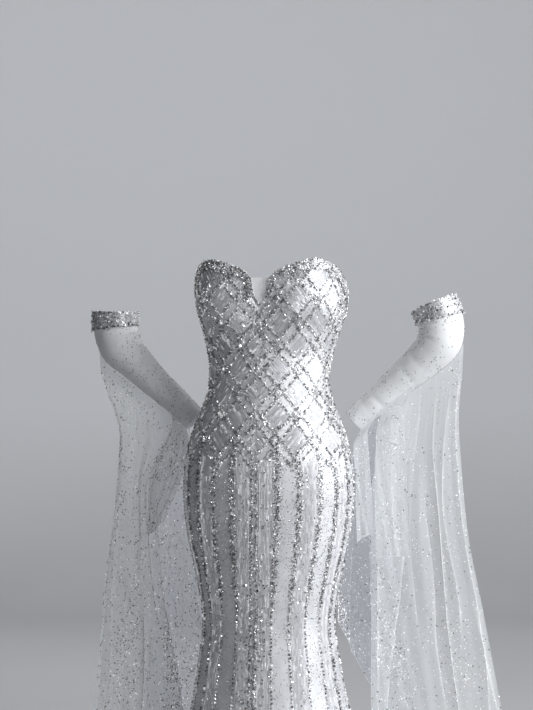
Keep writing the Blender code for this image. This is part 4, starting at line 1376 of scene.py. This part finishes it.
def makeSleeveStones(side, grid):
    clumps, clumped, loose = sleeve["clumps"], sleeve["clumpStones"], sleeve["looseStones"]
    clump = rng.random((2, clumps))
    pick = rng.integers(0, clumps, clumped)
    u = np.concatenate([(clump[0][pick] + rng.normal(0, 0.05, clumped)) % 1, rng.random(loose)])
    near = np.clip(clump[1][pick] + rng.normal(0, 0.03, clumped), 0, 1)
    v = np.concatenate([near, rng.random(loose)]) * 0.90
    points, normals = onGrid(closedRound(grid), u, v)
    normals = faceOut(normals, points - armAt(side, 1 - v)[0])
    points, normals = only(roomFor(points, 0.0036), points, normals)
    size = rng.uniform(*sleeve["stoneSizes"], len(points))
    sewn = setBeads(points, normals, size, 0.0005, rng.random(len(points)) ** 1.2, 14)
    return beadPiece(f"sleeve_{side}_stones", pointedBead(), sewn, beads["dark seed"])


def makeCuff(side):
    top, foot = forearms[side][0], forearms[side][1]
    tall = foot[0] * cuffs["height"] / math.hypot(top[1] - foot[1], top[2] - foot[2])
    rings = sleeveGrid(side, np.linspace(0.02, 1, 6) * tall, cuffs["sides"], cuffs["off"])
    cuff = clothPiece(f"sleeve_{side}_cuff_band", rings, cuffs["wall"], trimGround, tube=True)
    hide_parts(f"sleeve_cuff_{side}")
    middle = armAt(side, [tall / 2])[0][0]
    packed = rowStones(closedRound(rings), cuffs["stoneRows"], cuffs["pitch"], cuffs["stoneSizes"],
                       cuffs["seedSizes"], lambda points: points - middle)
    crystals = beadPiece(f"sleeve_{side}_cuff_stones", cutStone(6), packed, beads["trim"])
    declareCloth(cuff, rings, tube=True)


def makeSleeves():
    made = {}
    for side in ("left", "right"):
        shares = np.append(np.linspace(0, 0.99, sleeve["rows"]), 1.0)[::-1]
        grid = sleeveGrid(side, shares, sleeve["sides"], 0.0, True)
        piece = clothPiece(f"sleeve_{side}_net", grid, sleeve["wall"], [nets["sleeve net"], nets["net hem"]],
                           tube=True, edges=("foot",))
        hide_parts(f"sleeve_{side}")
        stones = makeSleeveStones(side, grid)
        declareCloth(piece, grid, tube=True)
        makeCuff(side)
        made[side] = piece
    return made


sleevePieces = makeSleeves()
print("sleeves made")


# hanging layers of net, sewn along the forearms
wings = {
    # seam: first and last share of the sleeve;  roll: degrees round the arm;  hem: height outside, inside
    # drops: height, outer edge, inner edge, y
    # folds: path down the cloth (how far down, how far in from the outer edge), spread, tuck, depth,
    # and where it starts and ends unless it runs all the way
    "wing_left": {
        "side": "left", "seam": (0.24, 0.80), "roll": 0, "hem": (-1.096, -1.096),
        "drops": [(-1.100, 0.530, 0.215, 0.090), (-0.88, 0.500, 0.200, 0.086), (-0.67, 0.458, 0.193, 0.082),
                  (-0.45, 0.416, 0.194, 0.080), (-0.33, 0.392, 0.194, 0.079), (-0.20, 0.378, 0.196, 0.078),
                  (-0.05, 0.370, 0.222, 0.075), (0.05, 0.376, 0.240, 0.072)],
        "folds": [
            ([(0.0, 0.36), (0.10, 0.34), (0.25, 0.28), (0.47, 0.33), (1.0, 0.28)], 0.022, 0.009, -0.005),
            ([(0.0, 0.70), (0.06, 0.80), (0.13, 0.86), (0.25, 0.785), (0.35, 0.80), (0.5, 0.80)],
             0.016, 0.004, 0.003, 0.0, 0.36),
            ([(0.1, 0.60), (0.18, 0.655), (0.25, 0.645), (0.32, 0.685), (0.47, 0.81), (0.60, 0.88),
              (1.0, 0.93)],
             0.016, 0.009, 0.005, 0.10, 1.1),
            ([(0.0, 0.20), (0.35, 0.19), (0.6, 0.20), (1.0, 0.16)], 0.100, 0.000, -0.007),
            ([(0.1, 0.52), (0.3, 0.51), (0.5, 0.56), (1.0, 0.60)], 0.070, 0.000, -0.006, 0.12, 1.1),
            ([(0.4, 0.10), (0.52, 0.06), (0.66, 0.10), (0.78, 0.05), (1.0, 0.12)],
             0.020, 0.008, -0.005, 0.42, 1.1),
            ([(0.0, 0.05), (0.3, 0.045), (1.0, 0.03)], 0.020, 0.007, -0.004, 0.0, 0.7),
            ([(0.45, 0.46), (0.7, 0.42), (1.0, 0.50)], 0.030, 0.007, -0.004, 0.45, 1.1),
            ([(0.0, 0.56), (0.16, 0.54), (0.34, 0.60), (0.5, 0.58)], 0.022, 0.007, 0.003, 0.0, 0.5),
            ([(0.0, 0.93), (0.10, 0.93), (1.0, 0.97)], 0.016, 0.006, -0.006, 0.0, 0.6),
            ([(0.05, 0.16), (0.14, 0.19), (0.25, 0.23), (0.42, 0.20), (0.6, 0.30)],
             0.018, 0.006, -0.004, 0.06, 0.52),
            ([(0.2, 0.44), (0.33, 0.40), (0.5, 0.44), (0.75, 0.38)], 0.022, 0.005, 0.004, 0.22, 0.8),
        ],
        "rows": 90, "columns": 190},
    "wing_right": {
        "side": "right", "seam": (0.24, 0.97), "roll": 0, "hem": (-1.096, -1.096),
        "drops": [(-1.100, 0.470, 0.190, 0.090), (-0.88, 0.432, 0.190, 0.086), (-0.67, 0.394, 0.203, 0.082),
                  (-0.45, 0.374, 0.242, 0.080), (-0.33, 0.358, 0.256, 0.079), (-0.20, 0.343, 0.269, 0.078),
                  (-0.05, 0.340, 0.235, 0.075), (0.05, 0.376, 0.200, 0.072)],
        "folds": [
            ([(0.34, 0.66), (0.42, 0.64), (0.55, 0.575), (0.75, 0.50), (1.0, 0.46)],
             0.016, 0.007, -0.012, 0.36, 1.1),
            ([(0.34, 0.72), (0.42, 0.70), (0.55, 0.62), (0.75, 0.545), (1.0, 0.50)],
             0.016, 0.007, 0.012, 0.40, 1.1),
            ([(0.3, 0.975), (1.0, 0.98)], 0.020, 0.006, -0.008, 0.30, 1.1),
            ([(0.03, 0.60), (0.12, 0.70), (0.25, 0.66), (0.40, 0.60)], 0.020, 0.006, -0.010, 0.03, 0.40),
            ([(0.0, 0.03), (0.3, 0.035), (1.0, 0.03)], 0.020, 0.006, 0.006, 0.0, 0.8),
            ([(0.0, 0.30), (0.2, 0.34), (0.4, 0.40), (1.0, 0.36)], 0.100, 0.000, -0.009),
            ([(0.0, 0.10), (0.3, 0.12), (0.6, 0.16), (1.0, 0.20)], 0.034, 0.006, -0.003, 0.04, 1.1),
            ([(0.0, 0.52), (0.08, 0.60), (0.2, 0.62), (0.4, 0.52)], 0.050, 0.006, 0.006, 0.0, 0.42),
            ([(0.0, 0.80), (0.08, 0.86), (0.24, 0.80), (0.5, 0.86)], 0.030, 0.007, -0.004, 0.0, 0.5),
            ([(0.45, 0.95), (0.7, 0.95), (1.0, 0.96)], 0.022, 0.007, 0.004, 0.4, 1.1),
            ([(0.5, 0.33), (0.75, 0.30), (1.0, 0.33)], 0.040, 0.006, 0.005, 0.50, 1.1),
        ],
        "rows": 90, "columns": 170},
    "wing_back_left": {
        "side": "left", "seam": (0.66, 0.96), "roll": -55, "hem": (-0.700, -0.505), "cloth": "sheer net in painted shade",
        "drops": [(-0.70, 0.265, 0.116, 0.126), (-0.35, 0.258, 0.120, 0.126), (-0.05, 0.240, 0.170, 0.100)],
        "folds": [
            ([(0.0, 0.25), (1.0, 0.22)], 0.070, 0.004, 0.008),
            ([(0.0, 0.50), (0.5, 0.55), (1.0, 0.48)], 0.050, 0.008, -0.006, 0.1, 1.1),
            ([(0.0, 0.80), (1.0, 0.84)], 0.050, 0.005, 0.005),
        ],
        "rows": 48, "columns": 56},
    "wing_back_right": {
        "side": "right", "seam": (0.66, 0.96), "roll": -55, "hem": (-1.096, -1.096), "cloth": "sheer net in painted shade",
        "drops": [(-1.100, 0.340, 0.150, 0.150), (-0.70, 0.300, 0.130, 0.132), (-0.35, 0.280, 0.128, 0.126),
                  (-0.05, 0.240, 0.170, 0.100)],
        "folds": [
            ([(0.0, 0.20), (1.0, 0.24)], 0.070, 0.004, -0.008),
            ([(0.0, 0.48), (0.5, 0.44), (1.0, 0.50)], 0.050, 0.009, 0.006, 0.1, 1.1),
            ([(0.0, 0.80), (1.0, 0.78)], 0.050, 0.005, -0.006),
        ],
        "rows": 60, "columns": 64},
    "wrist_flounce_left": {
        "side": "left", "seam": (0.86, 0.99), "roll": 38, "hem": (-0.318, -0.334),
        "drops": [(-0.34, 0.209, 0.172, 0.040), (-0.20, 0.200, 0.168, 0.040), (-0.08, 0.190, 0.160, 0.046)],
        "folds": [
            ([(0.0, 0.30), (1.0, 0.36)], 0.180, 0.002, -0.0016),
            ([(0.0, 0.72), (1.0, 0.80)], 0.120, 0.003, 0.0014),
        ],
        "rows": 36, "columns": 36},
    "wrist_flounce_right": {
        "side": "right", "seam": (0.84, 0.99), "roll": 38, "hem": (-0.330, -0.300), "cloth": "gathered net",
        "drops": [(-0.33, 0.264, 0.245, 0.042), (-0.20, 0.259, 0.190, 0.042), (-0.12, 0.220, 0.175, 0.044),
                  (-0.08, 0.200, 0.172, 0.046)],
        "folds": [
            ([(0.0, 0.05), (0.5, 0.16), (1.0, 0.10)], 0.050, 0.005, -0.009),
            ([(0.0, 0.20), (0.5, 0.36), (1.0, 0.22)], 0.045, 0.004, 0.007),
            ([(0.0, 0.38), (0.5, 0.55), (1.0, 0.38)], 0.045, 0.004, -0.008),
            ([(0.0, 0.55), (0.5, 0.72), (1.0, 0.55)], 0.045, 0.004, 0.007),
            ([(0.0, 0.72), (0.5, 0.86), (1.0, 0.74)], 0.045, 0.004, -0.007),
            ([(0.0, 0.90), (1.0, 0.90)], 0.040, 0.003, 0.005),
        ],
        "rows": 44, "columns": 72},
    "forearm_flounce_left": {
        "side": "left", "seam": (0.58, 0.82), "roll": 38, "hem": (-0.360, -0.366),
        "drops": [(-0.37, 0.278, 0.211, 0.035), (-0.20, 0.274, 0.210, 0.035), (-0.02, 0.262, 0.214, 0.041)],
        "folds": [
            ([(0.0, 0.20), (1.0, 0.30)], 0.160, 0.002, 0.0012),
            ([(0.0, 0.42), (0.5, 0.48), (1.0, 0.44)], 0.110, 0.003, -0.0014),
            ([(0.0, 0.80), (0.6, 0.70), (1.0, 0.74)], 0.140, 0.002, 0.0012),
        ],
        "rows": 40, "columns": 50},
}
netHang = {
    "standoff": 0.0022,         # off the sleeve
    "settle": 0.16,             # share of the drop over which a layer finds its own line
    "clear": 0.009,             # clear of the gown
    "crowd": 1.25, "ripple": 0.0005, "rippleLength": 0.034, "hemWidth": 0.0026,
    "gather": 0.0005, "gathers": 17,
    "wholeFold": (0.0, 1.1),    # start and end of a fold that runs all the way
    "lean": 2.4, "depth": 0.6, "crease": 0.0016,
    "flakePitch": 0.0050, "flakeSizes": (0.0011, 0.0019),
    "stonePitch": {"left": 0.022, "right": 0.0095}, "stoneSizes": (0.0021, 0.0032),
    "paintedShadeDim": {"left": 0.65, "right": 1.5},    # painted shade and light: the glitter on the wing in shade is made mostly dark (above 1), on the lit wing mostly clear and glowing
}


def clearOfGown(points):
    # moves a hanging layer out so that it hangs clear of the beaded cloth
    x, y, z = points[..., 0], points[..., 1], points[..., 2]
    middle = columnAt(gown["rings"], 4, z)
    out = np.stack([x, y - middle], -1)
    wide = columnAt(gown["rings"], 1, z)
    deep = np.where(y < middle, columnAt(gown["rings"], 2, z), columnAt(gown["rings"], 3, z))
    angle = np.degrees(np.arctan2(out[..., 0] / wide, -out[..., 1] / deep))
    wall = gownPoint(angle, z)
    least = np.hypot(wall[..., 0], wall[..., 1] - middle) + netHang["clear"]
    reach = np.maximum(np.hypot(out[..., 0], out[..., 1]), 1e-9)
    moved = out * np.maximum(least / reach, 1.0)[..., None]
    return np.stack([moved[..., 0], moved[..., 1] + middle, z], -1)


def seamLine(wing, across):
    # where a layer is sewn to its sleeve
    first, last = wing["seam"]
    centre, under, radius = armAt(wing["side"], first + (last - first) * across)
    roll = math.radians(wing["roll"])
    turned = under * math.cos(roll) - np.array([0, 1, 0]) * math.sin(roll)
    return centre + turned * (radius + netHang["standoff"])[:, None]


def foldNet(wing, across, down, girth, sign):
    # how far the net comes forward, how far it is tucked sideways, and where it lies double, which its
    # material makes more solid and lifts to white as a painted highlight
    fold, tucked, crease = (np.zeros(girth.shape) for _ in range(3))
    for path, spread, tuck, depth, *ends in wing["folds"]:
        first, last = ends or netHang["wholeFold"]
        place = columnAt(path, 1, down)
        strength = ease((down - first + 0.02) / 0.12) * ease((last - down) / 0.12)
        strength = strength * ease((1.02 - place) / 0.06) * ease((place + 0.02) / 0.06)
        away = (across - place) / spread
        leaning = np.where(away * depth * sign > 0, away, away / netHang["lean"])
        fold = fold + depth * netHang["depth"] * strength * np.exp(-leaning**2)
        tucked = tucked + tuck * strength * away * np.exp(-away**2)
        line = np.exp(-((across - place) * girth / netHang["crease"]) ** 2)
        crease = np.maximum(crease, line * strength * min(tuck / 0.006, 1))
    return fold, tucked, crease


def wingGrid(name):
    wing = wings[name]
    sign = 1 if wing["side"] == "left" else -1
    thin = netHang["hemWidth"] / abs(wing["drops"][0][1] - wing["drops"][0][2])
    across = np.linspace(0, 1, wing["columns"])
    across = np.unique(np.concatenate([across, [thin, 1 - thin]]))[None, :]
    down = np.append(np.linspace(0, 1, wing["rows"]) ** netHang["crowd"] * (1 - thin * 0.3), 1)[:, None]
    top = seamLine(wing, across[0])
    outerHem, innerHem = wing["hem"]
    hem = innerHem + (outerHem - innerHem) * np.cos(across * math.pi / 2)
    z = top[None, :, 2] + (hem - top[None, :, 2]) * down
    outer, inner = columnAt(wing["drops"], 1, z), columnAt(wing["drops"], 2, z)
    girth = np.abs(outer - inner)
    fold, tucked, crease = foldNet(wing, across, down, girth, sign)
    wave = across * girth * 2 * math.pi / netHang["rippleLength"]
    ripple = netHang["ripple"] * np.sin(wave + 3 * np.sin(down * 5 + across * 4))
    pleats = np.sin(across * 2 * math.pi * netHang["gathers"] + np.sin(across * 31))
    gather = netHang["gather"] * bump(down, 0.08) * pleats
    x = outer + (inner - outer) * across + tucked
    y = columnAt(wing["drops"], 3, z) + fold * (0.6 + 0.6 * down) + ripple * ease(down / 0.3) + gather
    settle = ease(down / netHang["settle"])
    grid = np.stack([top[None, :, 0] + (sign * x - top[None, :, 0]) * settle,
                     top[None, :, 1] + (y - top[None, :, 1]) * settle, z], -1)
    return clearOfGown(grid)[::-1], crease[::-1]      # rows go up the cloth, as in every other sheet


def netSprinkle(grid, pitch, sizes, paintedShadeDim, tilt):
    # glitter lies thickest low down and on the side towards the gown
    wide, tall, area = flatCut(grid)
    count = int(area / pitch**2)
    across, up = stepLengths(grid, 1), stepLengths(grid, 0)
    patch = (across[1:] + across[:-1]) * (up[:, 1:] + up[:, :-1]) / 4
    rows, columns = patch.shape
    low = 1 - (np.arange(rows) + 0.5)[:, None] / rows
    inner = (np.arange(columns) + 0.5)[None, :] / columns
    uneven = waves(low * tall + 0.3 * inner * wide, 3, 0.05) * waves(inner * wide + 0.2 * low * tall, 5, 0.04)
    thick = 0.35 + 0.65 * ease((low - 0.1) / 0.4) + 0.5 * low * inner
    chance = (patch * thick * (0.35 + 2.4 * uneven)).ravel()
    pick = rng.choice(rows * columns, count, p=chance / chance.sum())
    u = (pick % columns + rng.random(count)) / columns
    v = (pick // columns + rng.random(count)) / rows
    points, normals = onGrid(grid, u, v)
    front = np.where(rng.random(count) < 0.65, -1.0, 1.0)
    normals = normals * (np.sign(normals[:, 1]) * front)[:, None]
    size = rng.uniform(*sizes, count)
    # the tone's power is set per wing: painted shade darkens the glitter of the wing in shade
    return setBeads(points, normals, size, 0.0004, rng.random(count) ** paintedShadeDim, tilt)


def makeWings():
    flake = (ringPoints(5, 0.5, 0.0), [(0, 1, 2, 3, 4)])
    for name, wing in wings.items():
        grid, crease = wingGrid(name)
        piece = clothPiece(f"{name}_net", grid, 0, [nets[wing.get("cloth", "wing net")], nets["net hem"]],
                           edges=("foot", "sides"))
        layer = piece.data.attributes.new("crease", "FLOAT", "POINT")
        layer.data.foreach_set("value", np.clip(crease, 0, 1).ravel().astype(np.float32))
        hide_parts(name)
        side = wing["side"]
        # each wing's glitter is darkened or lightened by its side, as painted shade or light
        paintedShadeDim = netHang["paintedShadeDim"][side]
        flakes = netSprinkle(grid, netHang["flakePitch"], netHang["flakeSizes"], paintedShadeDim, 18)
        glitter = beadPiece(f"{name}_glitter", flake, flakes, beads["flake"])
        sewn = netSprinkle(grid, netHang["stonePitch"][side], netHang["stoneSizes"], 1.5 * paintedShadeDim, 10)
        stones = beadPiece(f"{name}_stones", pointedBead(), sewn, beads["dark seed"])
        declareCloth(piece, grid)


makeWings()
print("wings made")


# concealed zip at centre back: the pulled-together edges, coil and metal slider
zipFastener = {
    "top": 0.100, "foot": -0.230,
    "pitch": 0.0021, "coilWide": 0.0030, "coilTall": 0.0014, "coilLift": 0.0012,
    # section of the two lips: share of their half width, share of how far they stand out
    "section": [(-1.0, 0.0), (-0.55, 1.0), (-0.4, 0.25), (0.4, 0.25), (0.55, 1.0), (1.0, 0.0)],
    "half": 0.0022, "out": 0.0011, "wall": 0.0006, "lift": 0.0010, "rows": 90,
    "belowFoot": 0.012, "aboveTop": 0.010,      # how far the lips reach past the coil
}


def makeCoil():
    fastener = zipFastener
    heights = np.arange(fastener["foot"], fastener["top"], fastener["pitch"])
    angles = np.full(len(heights), 180.0)
    points, normals = gownPoint(angles, heights), gownNormal(angles, heights)
    n = len(heights)
    x = np.tile([[fastener["coilWide"], 0, 0]], (n, 1))
    y = np.tile([[0, 0, fastener["coilTall"]]], (n, 1))
    places = (points + normals * fastener["coilLift"], x, y, normals * fastener["coilWide"], np.full(n, 0.7))
    beadPiece("zip_coil", cutStone(8), places, zipTapeMaterial(), True)


def makeLips():
    fastener = zipFastener
    shares, out = np.array(fastener["section"]).T
    grid = []
    first = fastener["foot"] - fastener["belowFoot"]
    for z in np.linspace(first, fastener["top"] + fastener["aboveTop"], fastener["rows"]):
        fade = ease((z - first) / fastener["belowFoot"])
        reach = math.hypot(*gownPoint(180.0, z)[:2])
        angle = 180.0 - np.degrees(shares * fastener["half"] * 2 / reach)
        off = fastener["lift"] + out * fastener["out"] * fade
        grid.append(gownPoint(angle, z) + gownNormal(angle, z) * off[:, None])
    grid = np.array(grid)
    lips = clothPiece("zip_placket", grid, fastener["wall"], ground)
    declareCloth(lips, grid)


def makeZip():
    makeCoil()
    makeLips()
    metal = zipMetalMaterial()
    for node in ("zip_slider", "zip_pull_tab"):
        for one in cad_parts[node].material_slots:
            one.material = metal


makeZip()
print("zip made")


# studio: a grey sweep, a large soft light from the right, fainter ones round it, two for the sweep
studio = {
    "radius": 6.0, "fillet": 1.2, "height": 6.5, "segments": 96,
    "floorRings": (1.5, 3.2), "below": 0.003,       # the floor lies this far below the hem
    "wall": (0.66, 0.67, 0.69), "floor": (0.46, 0.46, 0.47),
    # the sweep away from the camera's view, with painted shade: darkest on the viewer's left, paler on the
    # right as painted light
    "paintedShade": (0.20, 0.20, 0.205), "pale": (0.50, 0.50, 0.51),
    "floorFade": 0.9,           # height where the floor's tone has gone over into the wall's
    "viewFrom": 2.6, "viewFade": 1.6,       # the wall's tone starts this far behind the gown
    "sideFrom": 1.0, "sideFade": 3.0,
    "aim": Vector((0, 0, -0.15)),
    "lights": {
        # azimuth from the camera's own direction, distance, height, size, watts, colour
        "key": (57, 3.2, 1.30, (2.4, 2.2), 147, (0.965, 0.985, 1.0)),
        "rim": (112, 3.6, 1.2, (1.6, 2.4), 32, (0.98, 0.99, 1.0)),
        "front": (30, 4.4, 1.4, (2.4, 2.4), 27, (0.985, 0.985, 1.0)),
        "left": (-66, 3.4, 0.7, (0.25, 2.4), 2, (1.0, 0.98, 0.98)),
        "back": (-150, 3.6, 1.8, (2.0, 2.0), 30, (0.96, 0.98, 1.0)),
    },
    "wallLights": {
        # the same, turned outward to the sweep
        "behind": (180, 1.6, 2.6, (4.0, 1.6), 84, (0.97, 0.985, 1.0)),
        "before": (0, 2.6, 3.2, (4.0, 1.6), 5, (0.97, 0.985, 1.0)),
    },
    "wallDip": Vector((0, 0, -0.55)),
    "sky": 0.062, "skyColour": (0.75, 0.77, 0.80),
}


def makeSweepMesh(floorZ):
    radius, fillet, sides = studio["radius"], studio["fillet"], studio["segments"]
    flat = radius - fillet
    bends = [k / 8 * math.pi / 2 for k in range(1, 9)]
    profile = [(r, 0.0) for r in (*studio["floorRings"], flat)]
    profile += [(flat + fillet * math.sin(a), fillet - fillet * math.cos(a)) for a in bends]
    profile.append((radius, studio["height"]))
    turns = [2 * math.pi * i / sides for i in range(sides)]
    points = [(r * math.sin(t), r * math.cos(t), floorZ + z) for r, z in profile for t in turns]
    points.append((0, 0, floorZ))
    faces = [(len(points) - 1, (i + 1) % sides, i) for i in range(sides)]
    for k in range(len(profile) - 1):
        for i in range(sides):
            j = (i + 1) % sides
            faces.append((k * sides + i, k * sides + j, (k + 1) * sides + j, (k + 1) * sides + i))
    mesh = bpy.data.meshes.new("sweep")
    mesh.from_pydata(points, [], faces)
    mesh.shade_smooth()
    return mesh


def sweepMaterial(floorZ):
    material, tree, shader = newMaterial("painted sweep")
    cloud = addCloud(tree, 0.5, 0.0, 0.35)
    x, y, z = addNode(tree, "ShaderNodeSeparateXYZ", {"Vector": bodyPlace(tree)}).outputs
    up = addMath(tree, "DIVIDE", addMath(tree, "SUBTRACT", z, floorZ), studio["floorFade"], clamp=True)
    alongView = [addMath(tree, "MULTIPLY", x, ahead.x), addMath(tree, "MULTIPLY", y, ahead.y)]
    behind = addMath(tree, "SUBTRACT", addMath(tree, "ADD", *alongView), studio["viewFrom"])
    shown = addMath(tree, "DIVIDE", behind, studio["viewFade"], clamp=True)
    # painted shade and light across the sweep: darker on the viewer's left, paler on the right
    acrossView = [addMath(tree, "MULTIPLY", x, ahead.y), addMath(tree, "MULTIPLY", y, ahead.x)]
    aside = addMath(tree, "ADD", addMath(tree, "SUBTRACT", *acrossView), studio["sideFrom"])
    paintedLitSide = addMath(tree, "DIVIDE", aside, studio["sideFade"], clamp=True)
    wall = addMix(tree, shown, addMix(tree, paintedLitSide, studio["paintedShade"], studio["pale"]), studio["wall"])
    colour = addMix(tree, up, studio["floor"], wall)
    setInputs(tree, shader, {"Base Color": addMix(tree, cloud, colour, wall), "Roughness": 0.9,
                             "Specular IOR Level": 0.1})
    facing = tree.nodes.new("ShaderNodeNewGeometry")        # the wall shows only its inner face
    clear = tree.nodes.new("ShaderNodeBsdfTransparent")
    setSurface(tree, mixShaders(tree, facing.outputs["Backfacing"], shader, clear))
    return material


def makeSweep():
    floorZ = cadLow.z - studio["below"]
    mesh = makeSweepMesh(floorZ)
    mesh.materials.append(sweepMaterial(floorZ))
    sweep = bpy.data.objects.new("sweep", mesh)
    bpy.context.scene.collection.objects.link(sweep)


def addLight(name, settings, toSweep):
    azimuth, distance, height, size, watts, colour = settings
    a = math.radians(azimuth)
    out = right * math.sin(a) - ahead * math.cos(a)
    data = bpy.data.lights.new(name, "AREA")
    data.shape = "RECTANGLE"
    data.size, data.size_y = size
    data.energy = watts
    data.color = colour
    light = bpy.data.objects.new(name, data)
    light.location = out * distance
    light.location.z = height
    facing = out + studio["wallDip"] if toSweep else studio["aim"] - light.location
    light.rotation_euler = facing.to_track_quat("-Z", "Y").to_euler()
    bpy.context.scene.collection.objects.link(light)


def makeStudio():
    makeSweep()
    for name, settings in studio["lights"].items():
        addLight(name, settings, False)
    for name, settings in studio["wallLights"].items():
        addLight(name, settings, True)
    world = bpy.context.scene.world or bpy.data.worlds.new("sky")
    bpy.context.scene.world = world
    world.use_nodes = True
    sky = world.node_tree.nodes["Background"]
    sky.inputs["Color"].default_value = (*studio["skyColour"], 1)
    sky.inputs["Strength"].default_value = studio["sky"]
    bpy.context.scene.cycles.transparent_max_bounces = 24
    bpy.context.scene.view_settings.view_transform = "Standard"


makeStudio()
print("studio made")
